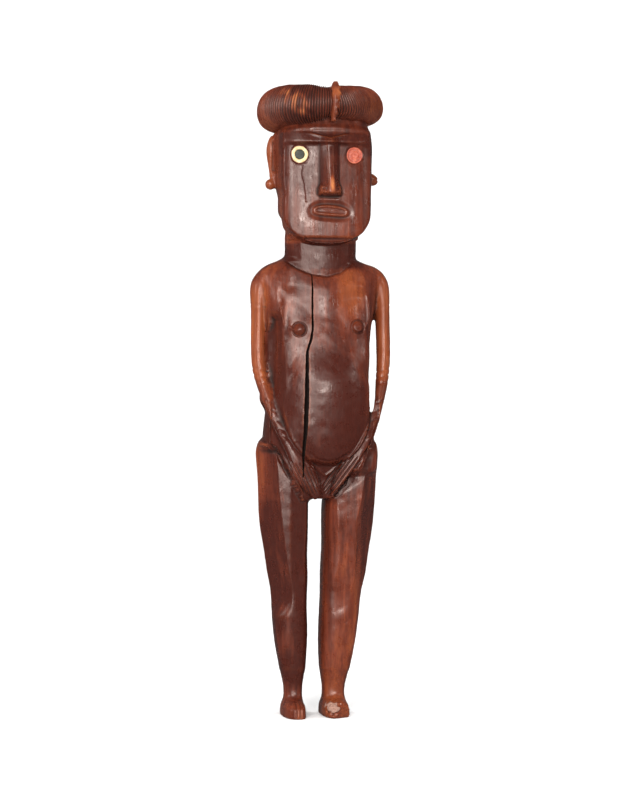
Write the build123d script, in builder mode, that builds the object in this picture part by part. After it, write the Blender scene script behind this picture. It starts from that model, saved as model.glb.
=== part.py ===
from build123d import *
from math import cos, pi, sin
import os

# Standing female figure carved from one block of red-brown hardwood.
#
# The figure is one piece of wood: rolled coiffure, head, trunk, arms and legs are cut from the same
# billet. Only the eyes are separate. Each eye is a drilled socket filled with red wax, with a
# ring of shell pressed into it and a dark plug in the ring's hole. The left eye has lost its ring and
# plug, so its wax shows the ring's print. The front of the left foot has broken away.
#
# The figure faces -Y, +Z is up and +X is the figure's own left. The origin is on the ground, in the
# middle of the box round the whole figure. All sizes are in millimetres.

# Heights
leg_height = 137.0  # ground to the fork of the legs
trunk_height = 150.0  # fork to the base of the neck
neck_rise = 10.0  # base of the neck to the underside of the chin
face_height = 73.0  # underside of the chin to the hairline
coiffure_rise = 27.5  # hairline to the highest point of the roll
crest_tip_rise = 2.5  # how far the crest stands above the roll

# Trunk
hip_half_width = 35.0  # the thighs stand out beyond this
waist_half_width = 33.0
chest_half_width = 33.5
shoulder_half_width = 38.5
trunk_shift = -1.2  # the trunk stands this far to the figure's right
belly_depth = 31.5  # middle plane to the front of the belly
back_depth = 22.0  # middle plane to the back
breast_spread = 19.4  # middle line to a nipple
breast_level = 107.5  # fork to the nipples
nipple_radius = 3.2
breast_length = 26.0

# Neck and head
neck_half_width = 22.3
neck_half_depth = 19.0
neck_y = -1.0
head_half_width = 31.5
head_depth_front = 28.5
head_depth_back = 29.0
crown_radius = 24.0  # flat crown inside the roll
crown_drop = 5.0  # the crown lies this far below the top of the roll
nose_length = 31.5
nose_width = 13.8  # over the nostrils
nose_projection = 10.0  # at the tip
nose_root = 4.0  # how far the nose's block reaches into the face
nose_top_above_eyes = 6.5
mouth_level = 20.0  # underside of the chin to the middle of the mouth
mouth_half_width = 11.2
mouth_half_height = 3.0
ear_length = 32.0
ear_projection = 4.2
ear_root = 4.0  # how far an ear's block reaches into the head
ear_level = 38.0  # underside of the chin to the ear's lower end
ear_thickness = 6.0
ear_plug_radius = 3.6

# Coiffure: a roll round the crown, thick over the ears and pinched at the parting
roll_half_width = 39.8
roll_half_depth = 36.5
right_roll_radius = 14.0
left_roll_radius = 12.8
parting_radius = 10.2
crest_width = 6.2
crest_shift = 3.2

# Arms
arm_spread = 39.8  # middle line to the middle of an upper arm
upper_arm_half_width = 4.4
upper_arm_half_depth = 6.0
forearm_radius = 3.7
elbow_level = 80.0  # fork to the elbow
wrist_spread = 23.5
hand_half_width = 6.6
hand_half_thickness = 3.6

# Legs
leg_gap = 9.6  # between the inner faces of the legs
thigh_top_half_width = 37.8
thigh_half_depth = 19.0
calf_half_depth = 13.5
ankle_half_width = 7.4
ankle_half_depth = 9.0
foot_length = 38.0
foot_half_width = 8.2
foot_height = 10.5
toe_break_angle = 28.0  # slant of the broken front of the left foot, in degrees
toe_break_depth = 7.0  # how much of the left foot's length is gone on its outer side

# Eyes
eye_spread = 17.2  # middle line to the middle of an eye
eye_level = 53.5  # underside of the chin to the middle of an eye
socket_radius = 5.6
socket_depth = 3.4
ring_radius = 5.2
ring_hole_radius = 3.05
ring_thickness = 1.3
ring_edge_radius = 0.25
seat_depth = 1.1  # face of the wood to the floor of the ring's seat
wax_recess = 0.2  # how far the wax's rim lies below the wood
plug_thickness = 1.0
plug_seat_depth = 0.9  # face of the wood to the underside of the plug
plug_edge_radius = 0.3
socket_clearance = 8.0  # free way in front of a socket, for the drill

# Levels that follow from the heights
fork_z = leg_height
neck_z = fork_z + trunk_height
chin_z = neck_z + neck_rise
hairline_z = chin_z + face_height
roll_top_z = hairline_z + coiffure_rise
eye_z = chin_z + eye_level
eye_face_y = -(head_depth_front - 2.8)  # the face beside the nose, at the eyes
breast_z = fork_z + breast_level
elbow_z = fork_z + elbow_level

SECTION_POINTS = 16


def section(centre, half_width, front, back, squareness=2.4):
    """A level slice: widest on the middle plane, with its own depth in front and behind."""
    power = 2.0 / squareness
    points = []
    for k in range(SECTION_POINTS):
        turn = 2.0 * pi * k / SECTION_POINTS
        across, along = cos(turn), sin(turn)
        depth = back if along > 0 else front
        x = half_width * abs(across) ** power * (1 if across > 0 else -1)
        y = depth * abs(along) ** power * (1 if along > 0 else -1)
        points.append((x, y))
    with BuildSketch(Plane(origin=centre)) as slice_:
        with BuildLine():
            Spline(*points, periodic=True)
        make_face()
    return slice_.sketch


def block_section(x, back, front, z, width):
    """A level rectangle between two depths."""
    with BuildSketch(Plane(origin=(x, (front + back) / 2, z))) as slice_:
        Rectangle(width, back - front)
    return slice_.sketch


def limb_section(centre, direction, half_width, half_depth):
    """An oval slice of a limb, square to the limb's direction, with its width in the front view."""
    across = Vector(*direction).cross(Vector(0, 1, 0))
    with BuildSketch(Plane(origin=centre, x_dir=across, z_dir=direction)) as slice_:
        Ellipse(half_width, half_depth)
    return slice_.sketch


# --- Trunk: pelvis, belly, chest and shoulders
# (share of the trunk's height, half width, front, back, squareness)
trunk_stations = [
    (0.00, hip_half_width - 4.0, 16.0, back_depth - 5.0, 2.8),
    (0.07, hip_half_width - 1.5, 20.5, back_depth + 2.0, 2.8),
    (0.15, hip_half_width - 0.5, 24.0, back_depth + 4.0, 2.7),
    (0.27, hip_half_width, belly_depth - 2.0, back_depth + 1.0, 2.5),
    (0.37, waist_half_width + 0.6, belly_depth, back_depth - 1.5, 2.4),
    (0.47, waist_half_width, belly_depth - 0.5, back_depth - 3.0, 2.4),
    (0.58, waist_half_width, belly_depth - 3.5, back_depth - 3.0, 2.6),
    (0.70, chest_half_width, belly_depth - 7.0, back_depth - 1.5, 2.8),
    (0.80, chest_half_width + 2.0, belly_depth - 9.5, back_depth - 0.5, 2.8),
    (0.88, shoulder_half_width - 0.8, belly_depth - 11.0, back_depth - 1.0, 2.6),
    (0.94, shoulder_half_width, belly_depth - 14.0, back_depth - 3.0, 2.4),
    (0.985, shoulder_half_width - 8.5, belly_depth - 16.0, back_depth - 5.0, 2.2),
    (1.01, neck_half_width, belly_depth - 17.0, back_depth - 6.0, 2.0),
]
with BuildPart() as trunk:
    loft(
        sections=[
            section((trunk_shift, 0, fork_z + share * trunk_height), half_width, ahead, behind, square)
            for share, half_width, ahead, behind, square in trunk_stations
        ]
    )

# --- Breasts: each runs down from the collar to a round nipple
breast_y = -(belly_depth - 9.5)  # the chest's surface beside the middle
with BuildPart() as breasts:
    for side in (-1, 1):
        top = Vector(side * (breast_spread + 2.0), breast_y + 5.0, breast_z + breast_length)
        tip = Vector(side * breast_spread, breast_y + 0.5, breast_z)
        down = tip - top
        loft(
            sections=[
                limb_section(top, down, 5.0, 2.5),
                limb_section(top + down * 0.55, down, 8.0, 5.0),
                limb_section(top + down * 0.9, down, 7.5, 5.5),
                limb_section(top + down * 1.06, down, 4.0, 3.0),
            ]
        )
        with Locations(tip + Vector(0, -nipple_radius - 0.5, 0)):
            Sphere(nipple_radius)

# --- Neck: a round post from inside the shoulders up into the head
# (height above the neck's base, half width, half depth)
neck_stations = [
    (-16.0, neck_half_width - 1.0, neck_half_depth - 3.0),
    (0.0, neck_half_width, neck_half_depth - 1.5),
    (22.0, neck_half_width - 0.5, neck_half_depth - 1.5),
    (36.0, neck_half_width - 5.0, neck_half_depth - 6.0),
]
with BuildPart() as neck:
    loft(
        sections=[
            section((0, neck_y, neck_z + rise), half_width, half_depth, half_depth, 2.1)
            for rise, half_width, half_depth in neck_stations
        ]
    )

# --- Head: the jaw overhangs the neck, and the brow overhangs the flat face
# (height above the chin, half width, front, back, centre y, squareness)
head_stations = [
    (0.0, 8.5, 6.0, 6.0, -20.5, 2.0),
    (3.0, 15.0, 12.0, 12.0, -16.0, 2.1),
    (8.5, 21.5, 16.0, 17.0, -12.5, 2.2),
    (17.0, 26.5, 19.5, 21.0, -9.0, 2.4),
    (28.0, head_half_width - 2.0, head_depth_front - 6.5, head_depth_back - 5.0, -5.5, 2.6),
    (42.0, head_half_width - 0.3, head_depth_front - 3.0, head_depth_back - 3.0, -2.0, 2.8),
    (56.0, head_half_width, head_depth_front - 2.5, head_depth_back - 1.0, -0.8, 3.0),
    (60.5, head_half_width, head_depth_front - 1.8, head_depth_back, -0.8, 3.0),
    (64.0, head_half_width - 0.3, head_depth_front - 0.6, head_depth_back, -0.8, 2.9),
    (face_height - 1.0, head_half_width - 2.2, head_depth_front - 2.0, head_depth_back - 0.5, -0.4, 2.8),
    (face_height + 6.0, head_half_width - 6.5, head_depth_front - 6.0, head_depth_back - 5.0, 0.0, 2.8),
]
with BuildPart() as head:
    loft(
        sections=[
            section((0.5, y, chin_z + rise), half_width, ahead, behind, square)
            for rise, half_width, ahead, behind, y, square in head_stations
        ]
    )
    with BuildSketch(Plane(origin=(0, 0, hairline_z))):
        Circle(crown_radius)
    extrude(amount=coiffure_rise - crown_drop)

# --- Nose: a long flat-sided ridge that widens to the nostrils
face_y = -(head_depth_front - 2.5)
nose_top_z = eye_z + nose_top_above_eyes
# (depth below the top of the nose, width, how far it stands out of the face)
nose_stations = [
    (0.0, nose_width - 3.5, nose_projection - 6.0),
    (nose_length * 0.7, nose_width - 2.5, nose_projection - 1.5),
    (nose_length - 3.0, nose_width, nose_projection),
    (nose_length, nose_width - 1.0, nose_projection - 3.0),
]
with BuildPart() as nose:
    loft(
        sections=[
            block_section(1.0, face_y + nose_root, face_y - projection, nose_top_z - drop, thickness)
            for drop, thickness, projection in nose_stations
        ],
        ruled=True,
    )

# --- Mouth: a low oval boss
mouth_z = chin_z + mouth_level
with BuildPart() as mouth:
    with BuildSketch(Plane.XZ.offset(head_depth_front - 5.0)):
        with Locations((1.5, mouth_z)):
            Ellipse(mouth_half_width, mouth_half_height)
    extrude(amount=6.0)

# --- Ears: long upright ribs that end in a round plug
# (share of the ear's length, how far it stands out beyond its root, half thickness)
ear_stations = [
    (0.0, -1.0, ear_thickness / 2),
    (0.5, 0.3, ear_thickness / 2 + 1.0),
    (0.85, 0.0, ear_thickness / 2 + 1.5),
    (1.0, -2.0, ear_thickness / 2),
]
ear_low_z = chin_z + ear_level
with BuildPart() as ears:
    for side in (-1, 1):
        ear_x = side * (head_half_width - ear_root)
        loft(
            sections=[
                section(
                    (ear_x, -1.0, ear_low_z + share * ear_length),
                    ear_root + ear_projection + swell,
                    half_thickness,
                    half_thickness,
                )
                for share, swell, half_thickness in ear_stations
            ]
        )
        with Locations((side * (head_half_width + ear_projection - 2.0), -1.0, ear_low_z - 1.0)):
            Sphere(ear_plug_radius)


# --- Coiffure: two half rings, each lofted from the parting round over the ear to the back
def half_roll(side, side_radius):
    """The roll on one side, as slices square to an oval path from the front to the back."""
    path_x = roll_half_width - side_radius
    path_y = roll_half_depth - parting_radius
    slices = []
    for degrees in (-90, -50, -15, 15, 50, 90):
        turn = degrees * pi / 180
        fatness = cos(turn) ** 0.7 if abs(degrees) < 90 else 0.0
        radius = parting_radius + (side_radius - parting_radius) * fatness
        centre = (side * path_x * cos(turn), path_y * sin(turn), roll_top_z - 2.0 + 2.0 * fatness - radius)
        heading = (-side * path_x * sin(turn), path_y * cos(turn), 0)
        with BuildSketch(Plane(origin=centre, x_dir=(0, 0, 1), z_dir=heading)) as slice_:
            Ellipse(radius, radius * 0.96)
        slices.append(slice_.sketch)
    with BuildPart() as roll:
        loft(sections=slices)
    return roll.part


# --- Crest: a carved lock that stands in the parting
# (height above the hairline, width, front, back)
crest_stations = [
    (1.0, crest_width - 2.0, -34.5, -24.0),
    (9.0, crest_width - 1.5, -38.5, -24.0),
    (18.0, crest_width, -37.5, -22.0),
    (24.0, crest_width - 0.8, -33.0, -22.0),
    (coiffure_rise + crest_tip_rise, crest_width / 3, -28.0, -25.0),
]
with BuildPart() as crest:
    loft(
        sections=[
            block_section(crest_shift, root_y, front_y, hairline_z + rise, thickness)
            for rise, thickness, front_y, root_y in crest_stations
        ],
        ruled=True,
    )


# --- Arms: upper arm clear of the trunk, forearm across the hip, hand on the groin
def arm(side):
    """One arm with its hand, from the shoulder to the finger tips."""
    spread = arm_spread
    stations = [
        # (x from the middle, y, z, half width, half depth)
        (spread - 17.0, 0.0, neck_z - 10.0, 4.0, 6.0),
        (spread - 8.5, 0.0, neck_z - 9.0, 6.0, 8.0),
        (spread - 3.0, 0.0, neck_z - 13.5, 6.0, 8.2),
        (spread - 0.4, -1.0, neck_z - 25.0, 5.0, 7.4),
        (spread, -2.0, neck_z - 40.0, upper_arm_half_width + 0.1, upper_arm_half_depth + 0.4),
        (spread + 0.2, -3.0, elbow_z + 15.0, upper_arm_half_width, upper_arm_half_depth),
        (spread - 0.4, -5.0, elbow_z + 1.0, upper_arm_half_width, upper_arm_half_depth - 0.4),
        (spread - 3.5, -10.5, elbow_z - 14.0, forearm_radius, forearm_radius + 1.0),
        (spread - 8.0, -17.5, elbow_z - 28.0, forearm_radius, forearm_radius + 0.2),
        (spread - 13.0, -23.0, elbow_z - 40.0, forearm_radius, forearm_radius),
        (wrist_spread - 2.0, -25.5, elbow_z - 51.0, forearm_radius + 0.6, forearm_radius),
        (wrist_spread - 9.0, -25.5, elbow_z - 62.5, hand_half_width, hand_half_thickness),
        (wrist_spread - 15.5, -22.5, fork_z + 6.5, hand_half_width - 1.6, hand_half_thickness - 0.2),
        (wrist_spread - 18.5, -20.5, fork_z + 1.0, hand_half_width - 3.4, hand_half_thickness - 0.8),
    ]
    middles = [Vector(side * x, y, z) for x, y, z, _, _ in stations]
    slices = []
    for k, (_, _, _, half_width, half_depth) in enumerate(stations):
        before = middles[max(k - 1, 0)]
        after = middles[min(k + 1, len(middles) - 1)]
        slices.append(limb_section(middles[k], after - before, half_width, half_depth))
    with BuildPart() as limb:
        loft(sections=slices)
    return limb.part


# --- Legs: flat inner faces, a long taper to the ankle
# (share of the leg's height, inner edge, outer edge, half depth, centre y)
leg_stations = [
    (0.04, leg_gap / 2 + 2.6, leg_gap / 2 - 1.4 + 2 * ankle_half_width, ankle_half_depth - 1.5, 4.0),
    (0.13, leg_gap / 2 + 0.4, leg_gap / 2 + 0.8 + 2 * ankle_half_width, ankle_half_depth, 4.0),
    (0.27, leg_gap / 2 - 0.9, 23.8, calf_half_depth - 1.8, 3.5),
    (0.40, leg_gap / 2 - 1.2, 26.6, calf_half_depth, 3.0),
    (0.54, leg_gap / 2 - 0.7, 28.5, calf_half_depth + 0.4, 2.0),
    (0.66, leg_gap / 2 - 0.6, 31.5, calf_half_depth + 1.2, 1.5),
    (0.82, leg_gap / 2 - 0.2, 35.0, thigh_half_depth - 2.2, 1.0),
    (1.00, leg_gap / 2, 37.0, thigh_half_depth, 1.0),
    (1.14, leg_gap / 2 + 1.0, thigh_top_half_width, thigh_half_depth + 0.5, 1.5),
    (1.24, leg_gap / 2 + 3.0, thigh_top_half_width, thigh_half_depth - 0.5, 2.0),
    (1.28, leg_gap / 2 + 6.0, thigh_top_half_width - 4.0, thigh_half_depth - 4.0, 2.0),
]
lean_at_fork = -1.8
lean_at_ground = -3.4


def lean(z):
    """How far the legs' middle line stands to the figure's right at a level."""
    return lean_at_ground + (lean_at_fork - lean_at_ground) * min(z / fork_z, 1.0)


def leg(side):
    """One leg, from the ankle to the top of the hip."""
    slices = []
    for share, inner, outer, half_depth, y in leg_stations:
        z = share * leg_height
        centre = (side * (inner + outer) / 2 + lean(z), y, z)
        slices.append(section(centre, (outer - inner) / 2, half_depth, half_depth, 2.7))
    with BuildPart() as limb:
        loft(sections=slices)
    return limb.part


# (height, narrower by, length in front of the ankle's middle, length behind it)
toe_reach = foot_length * 0.62
heel_reach = foot_length - toe_reach
foot_stations = [
    (0.0, 0.0, toe_reach, heel_reach),
    (foot_height * 0.6, 0.3, toe_reach - 1.0, heel_reach - 0.6),
    (foot_height, 1.6, toe_reach - 5.0, heel_reach - 2.6),
]
ankle_y = 4.0


def foot_x(side):
    """The middle of a foot from side to side."""
    return side * (leg_gap / 2 + 0.8 + ankle_half_width) + lean_at_ground


def foot(side):
    """One foot, flat on the ground, with its toes forward."""
    slices = [
        section((foot_x(side), ankle_y, z), foot_half_width - inset, ahead, behind, 2.7)
        for z, inset, ahead, behind in foot_stations
    ]
    with BuildPart() as block:
        loft(sections=slices, ruled=True)
    return block.part


right_foot = foot(-1)

with BuildPart() as lost_toes:
    outer_toe = Location((foot_x(1) + foot_half_width, ankle_y - toe_reach + toe_break_depth, 0))
    with Locations(outer_toe * Location((0, 0, 0), (0, 0, toe_break_angle))):
        Box(
            4 * foot_half_width, foot_length, 4 * foot_height,
            align=(Align.CENTER, Align.MAX, Align.CENTER),
        )

with BuildPart() as left_foot:
    add(foot(1))
    add(lost_toes.part, mode=Mode.SUBTRACT)

# --- The block of wood, with a drilled socket for each eye
eye_plane = Plane(origin=(0, eye_face_y, eye_z), x_dir=(1, 0, 0), z_dir=(0, -1, 0))
with BuildPart() as figure:
    add(trunk.part)
    add(neck.part)
    add(head.part)
    add(nose.part)
    add(mouth.part)
    add(ears.part)
    add(breasts.part)
    add(half_roll(-1, right_roll_radius))
    add(half_roll(1, left_roll_radius))
    add(crest.part)
    for side in (-1, 1):
        add(arm(side))
        add(leg(side))
    add(right_foot)
    add(left_foot.part)
    with BuildSketch(eye_plane.offset(socket_clearance)):
        with Locations((-eye_spread, 0), (eye_spread, 0)):
            Circle(socket_radius)
    extrude(amount=-(socket_clearance + socket_depth), mode=Mode.SUBTRACT)


# --- Eyes: wax fills the socket up to just below the wood, with a round seat for the ring
def wax_bed(x):
    """The wax in one socket, with the ring's seat and the boss that stood in the ring's hole."""
    with BuildPart() as wax:
        with BuildSketch(eye_plane.offset(-socket_depth)):
            with Locations((x, 0)):
                Circle(socket_radius)
        extrude(amount=socket_depth - wax_recess)
        with BuildSketch(eye_plane.offset(-seat_depth)):
            with Locations((x, 0)):
                Circle(ring_radius)
                Circle(ring_hole_radius, mode=Mode.SUBTRACT)
        extrude(amount=socket_depth, mode=Mode.SUBTRACT)
        with BuildSketch(eye_plane.offset(-plug_seat_depth)):
            with Locations((x, 0)):
                Circle(ring_hole_radius)
        extrude(amount=socket_depth, mode=Mode.SUBTRACT)
    return wax.part


with BuildPart() as right_eye_wax:
    add(wax_bed(-eye_spread))

with BuildPart() as left_eye_wax:
    add(wax_bed(eye_spread))

with BuildPart() as right_eye_ring:
    with BuildSketch(eye_plane.offset(-seat_depth)):
        with Locations((-eye_spread, 0)):
            Circle(ring_radius)
            Circle(ring_hole_radius, mode=Mode.SUBTRACT)
    extrude(amount=ring_thickness)
    rims = right_eye_ring.edges().filter_by(GeomType.CIRCLE).group_by(Axis.Y)[0]
    fillet(rims, ring_edge_radius)

with BuildPart() as right_eye_plug:
    with BuildSketch(eye_plane.offset(-plug_seat_depth)):
        with Locations((-eye_spread, 0)):
            Circle(ring_hole_radius)
    extrude(amount=plug_thickness)
    rim = right_eye_plug.edges().filter_by(GeomType.CIRCLE).group_by(Axis.Y)[0]
    fillet(rim, plug_edge_radius)

# --- Files
pieces = {
    "carved_figure": figure.part,
    "right_eye_wax": right_eye_wax.part,
    "right_eye_ring": right_eye_ring.part,
    "right_eye_plug": right_eye_plug.part,
    "left_eye_wax": left_eye_wax.part,
}
os.makedirs("parts", exist_ok=True)
for name, piece in pieces.items():
    piece.label = name
    export_step(piece, f"parts/{name}.step")
box = figure.part.bounding_box()
print("figure", len(figure.part.solids()), "solid, from", box.min, "to", box.max)
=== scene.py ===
"""A tall standing figure carved from one block of red-brown hardwood, with inlaid eyes.

The wood is worked here as a carver works it. A copy of the plain block is cut into a head and a body,
the surfaces are planed into facets, pressed into hollows and scored with grooves, and the hair roll
with its cut strands is made as a form of its own. Sizes are in millimetres until a mesh is written.
The figure faces -Y, +Z is up and +X is the figure's own left.
"""

from __future__ import annotations

import logging
import math
from collections.abc import Callable, Sequence
from dataclasses import dataclass
from enum import Enum

import bmesh
import bpy
import numpy as np
from mathutils import Matrix, Vector

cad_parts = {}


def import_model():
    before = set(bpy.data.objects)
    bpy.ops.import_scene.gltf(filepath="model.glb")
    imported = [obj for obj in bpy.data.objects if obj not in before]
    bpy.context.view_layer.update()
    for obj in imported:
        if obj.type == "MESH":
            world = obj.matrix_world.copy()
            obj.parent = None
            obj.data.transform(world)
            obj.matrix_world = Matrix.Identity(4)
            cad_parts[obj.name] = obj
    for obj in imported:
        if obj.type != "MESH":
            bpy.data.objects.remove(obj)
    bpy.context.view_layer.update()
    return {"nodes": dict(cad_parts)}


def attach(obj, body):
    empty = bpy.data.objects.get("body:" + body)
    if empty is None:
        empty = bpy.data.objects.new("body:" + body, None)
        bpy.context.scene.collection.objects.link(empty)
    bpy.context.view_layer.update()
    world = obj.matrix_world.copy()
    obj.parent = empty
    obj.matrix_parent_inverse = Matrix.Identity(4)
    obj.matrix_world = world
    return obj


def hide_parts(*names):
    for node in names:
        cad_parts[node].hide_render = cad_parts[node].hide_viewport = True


LOG = logging.getLogger("figure")
MM = 0.001

Path = Sequence[tuple[float, float]]
Point = tuple[float, float, float]


class Side(Enum):
    """The figure's own right and left, as the sign of X."""

    RIGHT = -1
    LEFT = 1


# --- Working the wood


def rise(value: np.ndarray, low: float, high: float) -> np.ndarray:
    """Goes smoothly from 0 at low to 1 at high.

    Args:
        value: The numbers to look up.
        low: Where the rise starts.
        high: Where it ends; below low, the slope runs the other way.

    Returns:
        A number from 0 to 1 for each value.
    """
    share = np.clip((value - low) / (high - low), 0.0, 1.0)
    return share * share * (3.0 - 2.0 * share)


def swell(distance: np.ndarray, reach: float) -> np.ndarray:
    """A round swelling: 1 at no distance, 0 from reach on."""
    return np.clip(1.0 - (distance / reach) ** 2, 0.0, 1.0) ** 2


def band(value: np.ndarray, low: float, high: float, edge: float) -> np.ndarray:
    """1 between low and high, falling to 0 over edge outside them."""
    return rise(value, low - edge, low) * rise(value, high + edge, high)


def ripple(points: np.ndarray, length: float, seed: int, waves: int = 14) -> np.ndarray:
    """A soft irregular wave field through the wood.

    Args:
        points: Where to read it.
        length: About how far it is from one crest to the next.
        seed: Chooses the field.
        waves: How many plane waves are added.

    Returns:
        A number for each point, mostly from -1 to 1.
    """
    rng = np.random.default_rng(seed)
    total = np.zeros(len(points))
    for _ in range(waves):
        way = rng.normal(size=3)
        way *= 2.0 * math.pi / (length * rng.uniform(0.7, 1.5) * np.linalg.norm(way))
        total += np.sin(points @ way + rng.uniform(0.0, 2.0 * math.pi))
    return total / math.sqrt(waves)


def from_line(points: np.ndarray, path: Path) -> tuple[np.ndarray, np.ndarray]:
    """Measures points from a line drawn on the front of the figure.

    Args:
        points: The points; only X and Z count.
        path: The line's corners as (x, z).

    Returns:
        Each point's distance from the line, and the share of the line's length at its foot.
    """
    flat = points[:, [0, 2]]
    corners = np.array(path, float)
    steps = np.linalg.norm(np.diff(corners, axis=0), axis=1)
    walked = np.concatenate([[0.0], np.cumsum(steps)])
    best = np.full(len(flat), np.inf)
    share = np.zeros(len(flat))
    for k, step in enumerate(steps):
        way = (corners[k + 1] - corners[k]) / step
        foot = np.clip((flat - corners[k]) @ way, 0.0, step)
        gap = np.linalg.norm(flat - corners[k] - foot[:, None] * way, axis=1)
        near = gap < best
        best[near] = gap[near]
        share[near] = (walked[k] + foot[near]) / walked[-1]
    return best, share


def through(points: Path, value: np.ndarray | float) -> np.ndarray:
    """Reads a line drawn through points (place, height) at each place."""
    return np.interp(value, *zip(*points))


def oval(across: np.ndarray, up: np.ndarray, wide: float, high: float, power: float) -> np.ndarray:
    """How far out each place lies in a rounded box: 1 on its edge, wide and high from its middle."""
    return (np.abs(across / wide) ** power + np.abs(up / high) ** power) ** (1 / power)


def vectors(items: bpy.types.bpy_prop_collection, name: str) -> np.ndarray:
    """Reads one vector from each item of a mesh.

    Args:
        items: The mesh's points or faces.
        name: The vector to read.

    Returns:
        One row for each item.
    """
    flat = np.empty(len(items) * 3)
    items.foreach_get(name, flat)
    return flat.reshape(-1, 3)


def in_millimetres(mesh: bpy.types.Mesh) -> bmesh.types.BMesh:
    """A copy of a mesh as a bmesh in millimetres.

    Args:
        mesh: The mesh, in metres.

    Returns:
        The copy.
    """
    bm = bmesh.new()
    bm.from_mesh(mesh)
    bmesh.ops.scale(bm, vec=Vector((1.0 / MM,) * 3), verts=bm.verts)
    return bm


def new_object(name: str, bm: bmesh.types.BMesh) -> bpy.types.Object:
    """Makes a smooth-shaded object from a bmesh in millimetres.

    Args:
        name: The piece's name.
        bm: The shape; it is freed.

    Returns:
        The object, at the origin, in metres.
    """
    bmesh.ops.recalc_face_normals(bm, faces=bm.faces)
    bmesh.ops.scale(bm, vec=Vector((MM, MM, MM)), verts=bm.verts)
    mesh = bpy.data.meshes.new(name)
    bm.to_mesh(mesh)
    bm.free()
    mesh.shade_smooth()
    obj = bpy.data.objects.new(name, mesh)
    bpy.context.scene.collection.objects.link(obj)
    return obj


def drawn_out(stations: Sequence[tuple[float, float, float, float, float]], sides: int) -> bmesh.types.BMesh:
    """Draws a level oval upwards from station to station.

    Args:
        stations: (x, y, z, half width, half depth) of each level, from one end to the other.
        sides: How many corners the oval has.

    Returns:
        The closed form.
    """
    bm = bmesh.new()
    x, y, z, wide, deep = stations[0]
    ring = bmesh.ops.create_circle(bm, cap_ends=True, segments=sides, radius=1.0)["verts"]
    bmesh.ops.scale(bm, vec=Vector((wide, deep, 1.0)), verts=ring)
    bmesh.ops.translate(bm, vec=Vector((x, y, z)), verts=ring)
    face = bm.faces[:][0]
    for x2, y2, z2, wide2, deep2 in stations[1:]:
        made = bmesh.ops.extrude_face_region(bm, geom=[face])["geom"]
        ring = [v for v in made if isinstance(v, bmesh.types.BMVert)]
        if len(bm.faces) > sides + 2:
            bmesh.ops.delete(bm, geom=[face], context="FACES_ONLY")
        face = next(f for f in made if isinstance(f, bmesh.types.BMFace))
        bmesh.ops.translate(bm, vec=Vector((-x, -y, -z)), verts=ring)
        bmesh.ops.scale(bm, vec=Vector((wide2 / wide, deep2 / deep, 1.0)), verts=ring)
        bmesh.ops.translate(bm, vec=Vector((x2, y2, z2)), verts=ring)
        x, y, z, wide, deep = x2, y2, z2, wide2, deep2
    return bm


def turned(profile: Path, centre: Vector, steps: int, wobble: Callable[[float], float]) -> bmesh.types.BMesh:
    """Turns a closed profile about an axis that points out of the face.

    Args:
        profile: Corners as (radius, how far in front of the centre), from the axis out and back to it.
        centre: The middle of the piece.
        steps: How many steps the turn has.
        wobble: Gives, for an angle, how much wider than true the hand-cut outline is.

    Returns:
        The turned form.
    """
    bm = bmesh.new()
    ring = [bm.verts.new((radius, -proud, 0.0)) for radius, proud in profile]
    edges = [bm.edges.new(pair) for pair in zip(ring, ring[1:])]
    if profile[0][0] > 0.0:
        edges.append(bm.edges.new((ring[-1], ring[0])))
    bmesh.ops.spin(
        bm, geom=ring + edges, cent=(0, 0, 0), axis=(0, 1, 0), angle=2 * math.pi, steps=steps, use_merge=True
    )
    bmesh.ops.remove_doubles(bm, verts=bm.verts, dist=0.001)
    for v in bm.verts:
        v.co.x, v.co.z = (c * wobble(math.atan2(v.co.z, v.co.x)) for c in (v.co.x, v.co.z))
    bmesh.ops.translate(bm, vec=centre, verts=bm.verts)
    return bm


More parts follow.
